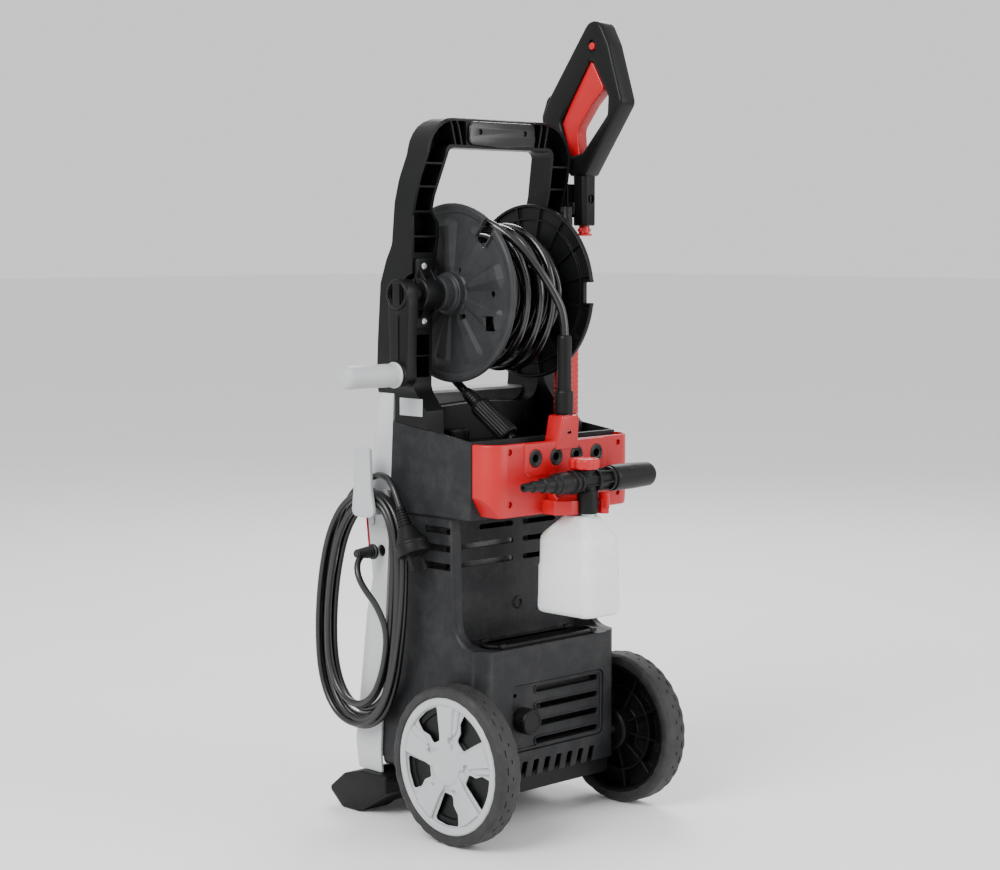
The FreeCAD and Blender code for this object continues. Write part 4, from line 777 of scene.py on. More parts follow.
class WASHER_OT_power_cord(Operator):
    """Winds the power cord over its hook and hangs the plug from it"""
    bl_idname = "washer.power_cord"
    bl_label = "Power cord"

    def execute(self, context):
        diameter = context.scene.washer_sizes.cord
        radius = diameter / MM / 2
        cord = spline_piece("power_cord", cord_route(), radius, "cord_black", "machine", "rubber",
                            ("cord_bundle", "cord_ends"))
        plug = pointed(self.plug(radius), PLUG_AT, PLUG_AIM)
        plug = put("plug_body", plug, ["black_plastic", "steel"], "machine", ("mains_plug",), "rubber")
        relief = pointed(self.relief(radius), CORD_LEAD[0], (1.0, 0.0, 0.0))
        put("gland_relief", relief, ["rubber"], "machine", ("cord_gland",), "rubber")
        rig.cord(cord, row(CORD_LEAD[0]), line_length(cord), diameter, "plug", stiffness="medium",
                lay="coiled", with_pieces=[plug])
        return {"FINISHED"}

    @staticmethod
    def relief(radius):
        """Tapered sleeve with rings where the cord leaves the machine."""
        profile = [(0.0, -1.0), (9.0, -1.0), (9.0, 1.5, 0.6), (7.4, 2.5)]
        z = 3.5
        while z < 24.0:
            outer = 7.4 - (z - 3.5) * 0.11
            profile += [(outer, z), (outer, z + 1.6, 0.4), (outer - 1.3, z + 1.9), (outer - 1.4, z + 3.0)]
            z += 3.2
        profile += [(radius + 0.5, 26.0), (0.0, 26.0)]
        return lathe("Z", (0.0, 0.0), profile, 40)

    @staticmethod
    def plug(radius):
        """Round two-pin plug along +Z: ribbed relief, waist, flared grip and pins."""
        profile = [(0.0, -1.0), (radius + 0.9, -1.0)]
        z = 1.0
        while z < 20.0:
            outer = radius + 1.6 + z * 0.13
            profile += [(outer, z), (outer, z + 2.0, 0.4), (outer - 1.2, z + 2.2), (outer - 1.2, z + 3.4)]
            z += 3.5
        profile += [(9.0, 23.0, 1.0), (10.5, 26.0, 3.0), (15.5, 36.5, 5.0), (17.0, 40.0, 1.2),
                    (19.0, 41.0, 1.0), (19.0, 55.6, 1.4), (0.0, 55.6)]

        def grip(angle, along):
            if along < 24.0 or along > 40.0:
                return 1.0
            return 1.0 - 0.10 * abs(math.sin(angle)) ** 3 * (1 - abs(along - 32.0) / 8.0)

        body = lathe("Z", (0.0, 0.0), profile, 64, grip)
        pins = []
        for x in (-9.5, 9.5):
            pins.append((disc("Z", (x, 0.0), 2.4, 55.0, 75.9, 1.6, segments=24), 1))
            pins.append((disc("Z", (x, 0.0), 2.7, 55.0, 64.0, 0.2, segments=24), 0))
        rim = disc("Z", (0.0, 0.0), 19.6, 41.5, 45.0, 1.0)
        return merged([(body, 0), (rim, 0), *pins])


HOSE_FEED = [(54.0, -70.0, 700.6), (51.0, -47.0, 696.5), (44.0, -25.0, 685.5), (33.0, -4.0, 667.0),
             (20.0, 13.0, 641.0), (8.0, 26.5, 613.0), (0.0, OUTLET_Y, 588.0), (0.0, OUTLET_Y, 566.1)]
HOSE_TAIL = [(38.0, -140.0, 539.0), (43.0, -124.0, 529.0), (48.0, -107.0, 519.0),
             (50.2, -89.3, 508.8), (48.0, -76.2, 498.5)]
# Windings from the inside out: turns, radius, X at the start and at the end, sag at the bottom.
HOSE_LAYERS = [(0.8, 46.0, 54.0, 54.0, 0.0), (6.0, 42.0, 54.0, -50.0, 0.0), (5.0, 52.0, -50.0, 42.0, 0.0),
               (5.0, 62.5, 42.0, -50.0, 1.5), (4.0, 75.0, -46.0, 36.0, 11.0)]


def coil_route():
    """Line of the wound hose about the reel axis, from the feed's start to the tail's start."""
    random.seed(11)
    start = math.atan2(HOSE_FEED[0][2] - REEL[1], HOSE_FEED[0][1] - REEL[0])
    first_radius = math.hypot(HOSE_FEED[0][2] - REEL[1], HOSE_FEED[0][1] - REEL[0])
    end = math.atan2(HOSE_TAIL[0][2] - REEL[1], HOSE_TAIL[0][1] - REEL[0])
    last_radius = math.hypot(HOSE_TAIL[0][2] - REEL[1], HOSE_TAIL[0][1] - REEL[0])
    turns = sum(layer[0] for layer in HOSE_LAYERS)
    total = round(turns - (end - start) / math.tau) + (end - start) / math.tau
    per_turn = 16
    steps = int(total * per_turn)
    wander = [random.uniform(-1.0, 1.0) for _ in range(int(total) + 3)]
    points = []
    for step in range(steps + 1):
        turn = total * step / steps
        used = 0.0
        radius, x, sag = last_radius, HOSE_TAIL[0][0], 0.0
        before = first_radius
        for number, (length, level, x0, x1, droop) in enumerate(HOSE_LAYERS):
            if turn <= used + length or number == len(HOSE_LAYERS) - 1:
                share = min(1.0, (turn - used) / length)
                rise = min(1.0, (turn - used) / min(length, 0.8))
                radius = before + (level - before) * (rise * rise * (3 - 2 * rise))
                x = x0 + (x1 - x0) * share
                sag = droop * rise
                break
            before = level
            used += length
        loose = wander[int(turn)] * (1 - turn % 1.0) + wander[int(turn) + 1] * (turn % 1.0)
        outer = sag > 0.0
        x += loose * (3.0 if outer else 0.8)
        radius += (loose * 1.6 + 1.6) if outer else 0.0
        left = total - turn
        if left < 1.0:
            fade = (1 - left) ** 2 * (3 - 2 * (1 - left))
            radius += (last_radius - radius) * fade
            x += (HOSE_TAIL[0][0] - x) * fade
            sag *= 1 - fade
        angle = start + math.tau * turn
        y, z = radius * math.cos(angle), radius * math.sin(angle)
        z -= sag * max(0.0, -math.sin(angle)) ** 2 * (1.0 + 0.5 * loose)
        points.append((x, REEL[0] + y, REEL[1] + z))
    points[0] = HOSE_FEED[0]
    points[-1] = HOSE_TAIL[0]
    return points


class WASHER_OT_hose(Operator):
    """Winds the high-pressure hose on the reel and runs its two ends"""
    bl_idname = "washer.hose"
    bl_label = "Hose"

    def execute(self, context):
        diameter = context.scene.washer_sizes.hose
        radius = diameter / MM / 2
        coil = spline_piece("hose_windings", coil_route(), radius, "hose_black", "reel", "rubber",
                            ("hose_coil",))
        feed = spline_piece("hose_feed_line", HOSE_FEED[::-1], radius, "hose_black", "machine", "rubber",
                            ("hose_feed",))
        tail = spline_piece("hose_tail_line", HOSE_TAIL, radius, "hose_black", "machine", "rubber",
                            ("hose_tail",))
        aim = Vector(HOSE_TAIL[-1]) - Vector(HOSE_TAIL[-2])
        nut = pointed(self.coupling(radius), HOSE_TAIL[-1], aim)
        nut = put("hose_coupling", nut, ["black_plastic", "steel", "rubber"], "machine", ("hose_nut",),
                  "black_plastic")
        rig.cord(coil, row(HOSE_FEED[0]), line_length(coil), diameter, "object", stiffness="stiff",
                lay="coiled")
        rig.cord(feed, row(HOSE_FEED[-1]), line_length(feed), diameter, "object", stiffness="stiff",
                lay="hanging")
        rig.cord(tail, row(HOSE_TAIL[0]), line_length(tail), diameter, "fitting", stiffness="stiff",
                lay="hanging", with_pieces=[nut])
        return {"FINISHED"}

    @staticmethod
    def coupling(radius):
        """Tapered relief, longitudinally ribbed nut and metal tip along +Z."""
        relief = [(0.0, -1.0), (radius + 1.0, -1.0), (radius + 2.2, 3.0, 1.0)]
        for number in range(4):
            z = 5.0 + number * 4.0
            relief += [(7.4 + number * 0.3, z), (7.4 + number * 0.3, z + 2.2, 0.5),
                       (6.4 + number * 0.3, z + 2.6), (6.4 + number * 0.3, z + 3.6)]
        relief += [(9.0, 22.0), (9.0, 24.0), (0.0, 24.0)]

        def ribbed(angle, along):
            if along < 27.0 or along > 75.0:
                return 1.0
            return 1.0 - 0.07 * (0.5 + 0.5 * math.cos(angle * 18)) ** 3

        nut = [(0.0, 22.0), (11.2, 22.0, 1.2), (12.5, 26.5), (12.5, 28.0), (12.4, 50.0), (12.5, 74.0),
               (12.5, 75.5), (11.4, 78.0, 1.0), (0.0, 78.0)]
        tip = [(0.0, 77.0), (5.0, 77.0), (5.0, 83.4, 0.8), (0.0, 83.4)]
        return merged([(lathe("Z", (0.0, 0.0), relief, 48), 2), (lathe("Z", (0.0, 0.0), nut, 144, ribbed), 0),
                       (lathe("Z", (0.0, 0.0), tip, 32), 1)])


# ---- finishes of the carried-over frame nodes --------------------------------------------
CARRIED = {
    "cover_grey": ["front_cover"],
    "red": ["front_trim"],
    "frame_black": ["reel_shaft"],
    "steel": ["motor_rotor", "pump_pistons", "outlet_pipe", "wheel_axle"],
    "cast_alloy": ["motor_body", "pump_body", "pump_head"],
    "tank_white": ["detergent_tank"],
}


class WASHER_OT_finishes(Operator):
    """Gives every frame node its moulded, rubber or metal finish"""
    bl_idname = "washer.finishes"
    bl_label = "Frame finishes"

    def execute(self, context):
        finish_of = {node: finish for finish, nodes in CARRIED.items() for node in nodes}
        for node, item in frame["nodes"].items():
            finish = material(finish_of.get(node, "black_plastic"))
            if not item.data.materials:
                item.data.materials.append(finish)
            for number in range(len(item.data.materials)):
                item.data.materials[number] = finish
        return {"FINISHED"}


# ---- wheels ------------------------------------------------------------------------------
TYRE_X = (120.7, 153.0)
TYRE_R = 90.0
RIM_R = 77.4
SPOKE_COUNT = 5
SPOKE_STEP = 360.0 / SPOKE_COUNT


def polar(radius, degrees):
    turn = math.radians(degrees)
    return radius * math.cos(turn), radius * math.sin(turn)


def polar_loop(shape, turn):
    """Loop from corners given as radius, degrees and corner radius, turned by an angle."""
    return [(*polar(radius, degrees + turn), corner) for radius, degrees, corner in shape]


def tyre(waves):
    """Tyre with a flat sidewall, waved tread shoulders and short slits."""
    inner, outer = TYRE_X
    middle = (inner + outer) / 2
    profile = [(RIM_R, inner + 2.0), (78.6, inner + 0.8, 0.6), (84.0, inner, 2.0), (87.2, inner + 0.9, 1.0),
               (TYRE_R - 0.4, inner + 4.6, 1.2), (TYRE_R, inner + 7.0), (TYRE_R, middle - 3.0),
               (TYRE_R, middle + 3.0), (TYRE_R, outer - 7.0), (TYRE_R - 0.4, outer - 4.2, 1.2),
               (87.4, outer - 0.9, 1.0), (84.0, outer, 2.0), (79.4, outer - 0.3, 0.5),
               (78.8, outer - 1.4, 0.4), (RIM_R, outer - 1.8)]

    def wave(angle, along):
        edge = max(0.0, abs(along - middle) - 7.0) / 9.0
        if edge == 0.0 or edge > 1.05:
            return 1.0
        side = 0.0 if along > middle else math.pi
        return 1.0 - 0.014 * edge * (0.5 + 0.5 * math.cos(waves * angle + side)) ** 2

    mesh = lathe("X", WHEEL_AXIS, profile, waves * 8, wave)
    cutters = []
    for index in range(waves):
        for x, shift, length in ((outer - 9.5, 0.0, 8.0), (middle - 1.0, 0.5, 4.0)):
            slit = block((x - 0.9, x + 0.9), (-length / 2, length / 2), (TYRE_R - 1.3, TYRE_R + 2.0), 0.3,
                         0.2)
            slit = turned(slit, "X", 360.0 * (index + shift) / waves)
            cutters.append(centred(slit, WHEEL_AXIS))
    return carved(mesh, cutters)


def wheel_windows():
    """Openings of the cover between its spokes, as loops round the axle."""
    shape = [(67.5, 106.5, 3.5), (67.5, 123.0, 20.0), (67.5, 139.5, 3.5), (54.0, 142.0, 4.0),
             (44.0, 136.5, 4.0), (33.0, 138.0, 4.0), (31.0, 113.0, 4.0), (48.0, 109.0, 6.0)]
    return [polar_loop(shape, index * SPOKE_STEP) for index in range(SPOKE_COUNT)]


def wheel_cover():
    """Light cover: dished plate with windows, rounded rim, raised spokes and a domed hub."""
    outer = TYRE_X[1]
    plate = slab("X", ring(RIM_R - 1.5, count=96), outer - 6.6, outer - 4.4, wheel_windows(), bevel=0.8,
                 rounds=3)
    rim = lathe("X", (0.0, 0.0), [(67.8, outer - 6.0), (68.0, outer - 1.6, 0.8), (70.5, outer - 0.3, 1.5),
                                  (75.4, outer - 0.2, 1.6), (RIM_R - 0.2, outer - 1.8, 0.8),
                                  (RIM_R - 0.2, outer - 5.0)], 120)
    spokes = []
    for index in range(SPOKE_COUNT):
        corners = [(69.5, 103.5, 1.0), (37.5, 107.5, 3.0), (25.0, 116.0, 4.0), (12.0, 134.0, 0.0),
                   (12.0, 46.0, 0.0), (20.0, 66.0, 1.5), (27.5, 72.0, 1.0), (27.5, 84.0, 1.0),
                   (34.0, 86.0, 1.0), (34.0, 76.5, 2.0), (46.0, 79.0, 8.0), (69.5, 80.0, 1.0)]
        spokes.append(slab("X", polar_loop(corners, index * SPOKE_STEP), outer - 6.0, outer - 0.2,
                           bevel=1.5, rounds=3))
        wing = [(69.0, 82.0, 1.0), (40.0, 82.0, 1.0), (37.0, 74.0, 2.0), (45.0, 70.5, 4.0), (69.0, 73.5, 1.0)]
        spokes.append(slab("X", polar_loop(wing, index * SPOKE_STEP), outer - 6.0, outer - 2.2, bevel=1.5,
                           rounds=3))
    hub = lathe("X", (0.0, 0.0), [(0.0, outer - 6.6), (28.5, outer - 6.6), (28.5, outer - 4.0, 0.6),
                                  (22.0, outer - 1.8, 2.0), (20.5, outer + 0.4, 1.0),
                                  (17.0, outer + 0.6, 1.5),
                                  (0.0, outer + 0.2)], 72)
    return centred(merged([plate, rim, hub, *spokes]), WHEEL_AXIS)


def wheel_rim():
    """Black rim behind the cover: barrel, stepped web, hub, ribs and two pale snap tabs."""
    inner, outer = TYRE_X
    hub_low = inner - 5.7
    profile = [(6.2, hub_low, 0.4), (25.0, hub_low, 2.0), (25.0, outer - 16.0, 2.0),
               (50.0, outer - 13.0, 4.0),
               (71.0, outer - 13.0, 2.0), (73.0, inner + 2.0, 1.0), (RIM_R - 0.3, inner + 1.0, 0.6),
               (RIM_R - 0.3, outer - 6.5), (70.0, outer - 8.0, 2.0), (60.5, outer - 8.0, 0.8),
               (59.5, outer - 10.5, 0.8), (32.0, outer - 10.5, 1.0), (30.0, outer - 7.0, 1.0),
               (11.0, outer - 7.0),
               (11.0, outer - 12.7), (6.2, outer - 12.7)]
    parts = [lathe("X", (0.0, 0.0), profile, 96)]
    hub_collar = [(20.5, hub_low - 0.1, 0.6), (22.5, hub_low - 0.8, 0.5), (22.5, hub_low + 0.4),
                  (20.5, hub_low + 0.4)]
    parts.append(lathe("X", (0.0, 0.0), hub_collar, 72))
    parts.append(disc("X", (0.0, 0.0), 52.0, inner + 7.0, outer - 12.0, 0.6, inner=49.6))
    for index in range(10):
        rib = slab("Y", [(inner + 4.5, 24.0), (outer - 12.0, 24.0), (outer - 12.0, 74.0),
                         (inner + 8.0, 74.0, 2.0),
                         (inner + 9.0, 50.0, 6.0)], -1.3, 1.3, bevel=0.4)
        parts.append(turned(rib, "X", index * 36.0 + 10.0))
    tabs = []
    for degrees in (118.0, -12.0):
        tab = block((inner + 5.0, inner + 11.0), (-5.0, 5.0), (62.0, 72.6), 1.5, 0.8)
        tabs.append((turned(tab, "X", degrees - 90.0), 1))
        lip = block((inner + 3.5, inner + 6.0), (-3.2, 3.2), (66.0, 72.6), 0.8, 0.6)
        tabs.append((turned(lip, "X", degrees - 90.0), 1))
    return centred(merged([*parts, *tabs]), WHEEL_AXIS)


class WASHER_OT_wheels(Operator):
    """Builds both wheels: waved tyre, ribbed rim and spoked cover"""
    bl_idname = "washer.wheels"
    bl_label = "Wheels"

    def execute(self, context):
        near = {"tyre": (tyre(context.scene.washer_sizes.lugs), ["tyre"], "tyre"),
                "cover": (wheel_cover(), ["light_grey"], "light_grey"),
                "rim": (wheel_rim(), ["frame_black", "light_grey"], "frame_black")}
        for kind, (mesh, finishes, slot_name) in near.items():
            far = flipped(mesh)
            put(f"near_{kind}", mesh, finishes, "wheel_near", (f"wheel_{kind}_near",), slot_name)
            put(f"far_{kind}", far, finishes, "wheel_far", (f"wheel_{kind}_far",), slot_name)
        return {"FINISHED"}


# ---- reel --------------------------------------------------------------------------------
FLANGE_X = (60.0, 66.0)
FLANGE_R = 102.7
FLANGE_BAND = 11.0
NOTCH_DEG = 51.0               # where the near flange's notch stands
HUB_BORE = 8.2
HUB_END = 89.6
CRANK_THROW = 90.3
REEL_HOLES = ((14.3, 26.5), (66.0, 0.0), (18.0, -27.0), (-32.0, 8.0))


def relief_disc(face, back, sectors):
    """Disc with a star of sloping facets on its face, drawn round the X axis at zero."""
    radii = [20.0, 25.0, 31.0, 78.0, 87.0, FLANGE_R - FLANGE_BAND + 1.0]
    lift = [0.4, 0.6, 1.0, 1.0, 0.15, 0.0]
    # Share of a sector, height of the facet there, and how far its outer end is drawn in.
    stations = [(0.0, 0.0, 0.93), (0.10, 0.0, 0.93), (0.30, 3.9, 1.0), (0.60, 3.9, 0.98), (0.68, 0.2, 0.95)]
    vertices = []
    per_turn = sectors * len(stations)
    for radius, share in zip(radii, lift):
        for sector_index in range(sectors):
            for part, height, reach in stations:
                angle = math.tau * (sector_index + part) / sectors
                r = radius * reach if radius == radii[4] else radius
                vertices.append((face + height * share, r * math.cos(angle), r * math.sin(angle)))
    front = len(vertices)
    for radius in (radii[0], radii[-1]):
        for index in range(per_turn):
            _, y, z = vertices[index]
            scale = radius / radii[0]
            vertices.append((back, y * scale, z * scale))
    faces = []
    for level in range(len(radii) - 1):
        for index in range(per_turn):
            after = (index + 1) % per_turn
            low, high = level * per_turn, (level + 1) * per_turn
            faces.append((low + index, high + index, high + after, low + after))
    outer = (len(radii) - 1) * per_turn
    for index in range(per_turn):
        after = (index + 1) % per_turn
        faces.append((outer + index, front + per_turn + index, front + per_turn + after, outer + after))
        faces.append((front + index, index, after, front + after))
        faces.append((front + per_turn + index, front + index, front + after, front + per_turn + after))
    return from_lists(vertices, faces)


def near_flange():
    low, high = FLANGE_X
    star = relief_disc(low + 1.9, low, 9)
    rim = lathe("X", (0.0, 0.0), [(FLANGE_R - FLANGE_BAND, low), (FLANGE_R - FLANGE_BAND, low + 2.6, 0.6),
                                  (FLANGE_R - 8.0, high - 0.6, 2.0), (FLANGE_R - 3.2, high, 2.4),
                                  (FLANGE_R, high - 1.6, 2.2), (FLANGE_R, low, 0.6)], 144)
    window = slab("X", rect((53.0, 71.0), (-42.0, -25.0), 1.5), low - 1.0, high + 4.0, bevel=0.2)
    notch = turned(slab("X", rect((72.0, 110.0), (-9.0, 9.0), 4.0), low - 2.0, high + 4.0, bevel=0.2), "X",
                   NOTCH_DEG)
    cutters = [window, notch]
    for dy, dz in REEL_HOLES:
        cutters.append(disc("X", (dy, dz), 3.7, low - 1.0, high + 4.0, 0.2, segments=28))
    rim = carved(rim, [notch])
    star = carved(star, cutters)
    hub = lathe("X", (0.0, 0.0), [(HUB_BORE, low), (26.0, low), (26.0, low + 3.0, 1.0),
                                  (23.6, low + 4.6, 1.0),
                                  (23.6, low + 12.0, 1.4), (21.6, low + 13.0, 0.5), (21.6, low + 15.4, 0.8),
                                  (20.3, low + 16.4, 0.5), (20.0, HUB_END, 1.0), (HUB_BORE, HUB_END)], 72)
    band = disc("X", (0.0, 0.0), 22.4, low + 13.4, low + 14.6, 0.4, inner=20.0)
    lips = []
    for side in (-1, 1):
        lip = block((low + 0.6, high - 0.4), (side * 10.2 - 1.2, side * 10.2 + 1.2), (76.0, FLANGE_R - 1.5),
                    1.0, 0.8)
        lips.append(turned(lip, "X", NOTCH_DEG - 90.0))
    return centred(merged([(star, 0), (rim, 0), (hub, 1), (band, 0), *[(lip, 0) for lip in lips]]), REEL)


def far_flange():
    """Black flange with the drum, pockets between radial ribs and a cut-out in its rim."""
    low, high = -FLANGE_X[1], -FLANGE_X[0]
    plate = slab("X", ring(FLANGE_R - 2.0, count=120), low, low + 2.6, [ring(9.0)], bevel=0.6)
    rim = lathe("X", (0.0, 0.0), [(98.4, low), (FLANGE_R, low, 1.2), (FLANGE_R, high, 1.4), (99.6, high, 1.0),
                                  (98.4, low + 2.4)], 144)
    cut = block((low - 3.0, high + 3.0), (86.0, 110.0), (-12.0, 12.0), 3.0, 0.2)
    parts = [carved(plate, [cut]), carved(rim, [cut])]
    parts.append(disc("X", (0.0, 0.0), 86.6, low + 1.0, high - 0.4, 0.6, inner=84.4, segments=96))
    for index in range(16):
        rib = slab("Z", [(low + 1.0, 40.0), (low + 4.4, 40.0), (high - 0.4, 84.0), (high - 0.2, 99.5),
                         (low + 1.0, 99.5)], -1.3, 1.3, bevel=0.4)
        parts.append(turned(rib, "X", index * 22.5 + 11.25))
    lip = [(88.0, -15.0, 2.0), (102.0, -15.0, 1.0), (102.0, -12.0, 0.5), (91.0, -12.0, 2.0),
           (91.0, 12.0, 2.0),
           (102.0, 12.0, 0.5), (102.0, 15.0, 1.0), (88.0, 15.0, 2.0)]
    parts.append(slab("X", lip, low, high - 0.2, bevel=0.5))
    drum = lathe("X", (0.0, 0.0), [(32.0, low + 1.0), (36.0, low + 1.0), (36.0, 60.0), (32.0, 60.0)], 72)
    hub = lathe("X", (0.0, 0.0), [(HUB_BORE, -HUB_END), (20.0, -HUB_END, 1.5), (20.0, -76.0),
                                  (24.0, -74.0, 1.0),
                                  (24.0, low, 1.0), (HUB_BORE, low)], 72)
    return centred(merged([*parts, drum, hub]), REEL)


class WASHER_OT_reel(Operator):
    """Builds the two reel flanges, the drum, the crank and its knob"""
    bl_idname = "washer.reel"
    bl_label = "Reel and crank"

    def execute(self, context):
        put("reel_flange_near", near_flange(), ["reel_grey", "frame_black"], "reel", ("flange_near",),
            "reel_grey", crease=12.0)
        put("reel_flange_far", far_flange(), ["frame_black"], "reel", ("flange_far",), "frame_black")
        put("crank", self.crank(), ["frame_black", "zinc", "hole_shade_and_deep_black"], "reel", ("crank_arm",), "frame_black")
        put("crank_handle", self.knob(), ["light_grey", "frame_black", "hole_shade_and_deep_black"], "crank_knob",
            ("crank_knob",), "light_grey")
        return {"FINISHED"}

    @staticmethod
    def crank():
        """Arm with a round head, two crescent recesses, a middle tab and a stepped foot."""
        y, z = REEL
        foot = z - CRANK_THROW
        outline = [(y - 17.0, z + 17.0, 15.0), (y + 17.0, z + 17.0, 15.0), (y + 17.0, z - 12.0, 6.0),
                   (y + 14.5, foot + 22.0, 10.0), (y + 14.5, foot - 14.5, 13.0),
                   (y - 14.5, foot - 14.5, 13.0),
                   (y - 14.5, foot + 22.0, 10.0), (y - 17.0, z - 12.0, 6.0)]
        arm = slab("X", outline, 130.0, 146.0, bevel=1.6, rounds=3)
        recesses = []
        for side in (-1, 1):
            loop = []
            for degrees in range(-52, 53, 8):
                loop.append((y + side * 13.0 * math.cos(math.radians(degrees)),
                             z + 13.0 * math.sin(math.radians(degrees))))
            loop += [(y + side * 6.5, z + 10.0), (y + side * 6.5, z - 10.0)]
            recesses.append(slab("X", loop, 143.0, 152.0, bevel=0.2))
        arm = carved(arm, recesses)
        head = lathe("X", REEL, [(13.4, 140.0), (17.0, 140.0), (17.0, 149.0, 1.4), (13.4, 149.0, 1.0)], 64)
        tab = block((140.0, 149.0), (y - 5.8, y + 5.8), (z - 14.5, z + 14.5), 0.8, 1.0)
        # Near-black patch on the arm's face: painted shade of the slot below the head.
        slot_below = block((144.0, 146.4), (y - 5.0, y + 5.0), (z - 21.0, z - 17.0), 0.6, 0.3)
        boss = disc("X", (y, foot), 14.0, 130.0, 149.0, 1.4)
        neck = disc("X", REEL, 11.0, 118.3, 131.0, 0.8)
        rib = block((146.0, 147.4), (y - 1.6, y + 1.6), (foot + 16.0, z - 24.0), 0.6, 0.5)
        pin = disc("X", (y, foot), 3.9, 135.0, 218.0, 0.6, segments=32)
        screw = disc("Y", (124.5, z + 1.0), 3.6, y + 9.0, y + 12.2, 0.5, inner=1.9, segments=32)
        return merged([(arm, 0), (head, 0), (tab, 0), (slot_below, 2), (boss, 0), (neck, 0), (rib, 0),
                       (pin, 1), (screw, 1)])

    @staticmethod
    def knob():
        """Round grip with a black collar and two end slots drawn as near-black patches, painted shade."""
        y, z = REEL[0], REEL[1] - CRANK_THROW
        grip = lathe("X", (y, z), [(4.1, 157.0), (12.8, 157.0), (13.2, 165.0, 8.0), (12.7, 190.0, 30.0),
                                   (13.2, 218.0, 8.0), (13.0, 222.0, 2.0), (10.6, 227.0, 2.5), (0.0, 227.0),
                                   (0.0, 219.0), (4.1, 219.0)], 72)
        collar = lathe("X", (y, z), [(4.1, 151.0), (14.7, 151.0, 0.8), (14.7, 153.2, 0.6), (13.4, 154.0, 0.4),
                                     (13.4, 157.2), (4.1, 157.2)], 72)
        # The end slots are thin near-black patches on the end face: painted shade.
        slots = [slab("X", rect((y - 7.5, y + 7.5), (z + side * 4.0 - 1.1, z + side * 4.0 + 1.1), 1.0),
                      226.4, 227.1, bevel=0.2) for side in (-1, 1)]
        return merged([(grip, 0), (collar, 1), *[(item, 2) for item in slots]])


# ---- gun and lance -----------------------------------------------------------------------
GUN_MID = -138.0
BARREL_Y = -66.0
BARREL_SCREW_Z = 722.0
GUN_LOCK = (-42.0, 901.0)      # axis of the trigger lock: Y, Z
GUN_LOOP = [(-39.0, 944.5, 16.0), (-16.0, 902.0, 30.0), (6.0, 833.0, 12.0), (-54.0, 749.0, 4.0),
            (-78.0, 749.0, 4.0), (-112.0, 790.0, 18.0), (-127.5, 818.0, 12.0), (-112.0, 846.0, 20.0)]
GUN_GAP = [(-45.0, 888.0, 5.0), (-17.5, 842.0, 9.0), (-18.5, 820.0, 8.0), (-58.0, 777.0, 6.0),
           (-80.0, 772.0, 5.0), (-95.0, 815.0, 8.0)]


def gun_shell():
    """Faceted grip loop with its trigger room, barrel block and pockets for the lock."""
    low, high = GUN_X
    core = slab("X", GUN_LOOP, low, high, [GUN_GAP], bevel=3.4, rounds=2)
    room = slab("X", [(-60.0, 778.0, 2.0), (-66.0, 758.0, 4.0), (-85.0, 758.0, 4.0), (-113.0, 802.0, 6.0),
                      (-91.0, 856.0, 6.0), (-75.0, 892.0, 4.0), (-55.0, 896.0, 2.0), (-42.0, 889.0, 1.0)],
                GUN_MID - 8.6, GUN_MID + 8.6, bevel=0.3)
    recesses = []
    for side in (-1, 1):
        edge = GUN_MID + side * 13.0
        recesses.append(slab("X", [(-47.5, 893.0, 5.5), (-36.5, 893.0, 5.5), (-36.5, 909.0, 5.5),
                                   (-47.5, 909.0, 5.5)], edge - 2.4, edge + 2.4, bevel=0.3))
    core = carved(core, [room, *recesses])
    half = 11.2
    cut = 4.6
    plan = [(GUN_MID + x * half - (cut if x * far else 0.0) * x,
             BARREL_Y + y * half - (cut if not far else 0.0) * y, 1.2)
            for x, y, far in ((-1, -1, 0), (-1, -1, 1), (1, -1, 1), (1, -1, 0),
                              (1, 1, 0), (1, 1, 1), (-1, 1, 1), (-1, 1, 0))]
    barrel = slab("Z", plan, 690.0, 753.0, bevel=2.0, rounds=3)
    seat = disc("Y", (GUN_MID, BARREL_SCREW_Z), 5.4, BARREL_Y + half - 3.0, BARREL_Y + half + 3.0, 0.2,
                segments=32)
    mouth = disc("Z", (GUN_MID, BARREL_Y), 7.0, 680.0, 700.0, 0.2, segments=40)
    barrel = carved(barrel, [seat, mouth])
    # Near-black disc at the floor of the screw seat: painted shade.
    pit = disc("Y", (GUN_MID, BARREL_SCREW_Z), 5.3, BARREL_Y + half - 3.2, BARREL_Y + half - 2.6, 0.2,
               segments=32)
    head = block((GUN_MID - 1.3, GUN_MID + 1.3), (BARREL_Y + half - 2.8, BARREL_Y + half - 0.6),
                 (717.6, 726.4),
                 0.4, 0.3)
    collar = slab("Z", [(GUN_MID - 10.2, BARREL_Y - 10.2, 4.0), (GUN_MID + 10.2, BARREL_Y - 10.2, 4.0),
                        (GUN_MID + 10.2, BARREL_Y + 10.2, 4.0), (GUN_MID - 10.2, BARREL_Y + 10.2, 4.0)],
                  743.0, 750.5, bevel=1.2)
    lines = [slab("X", [(-27.0, 893.0, 1.0), (-19.5, 872.0, 1.0), (-18.2, 872.6, 0.4), (-25.7, 893.6, 0.4)],
                  low - 0.2, low + 1.4, bevel=0.2)]
    catch = slab("X", [(-107.0, 852.0, 3.0), (-122.0, 844.0, 8.0), (-131.0, 822.0, 6.0), (-128.0, 806.0, 3.0),
                       (-118.0, 812.0, 3.0)], GUN_MID - 7.0, GUN_MID + 7.0, bevel=1.5)
    pins = [disc("X", GUN_LOCK, 5.0, side * 10.7 + GUN_MID - 0.5, side * 10.7 + GUN_MID + 0.5, 0.2)
            for side in (-1, 1)]
    return merged([(core, 0), (barrel, 0), (collar, 0), (pit, 1), (head, 2), (catch, 1),
                   *[(item, 1) for item in pins + lines]])


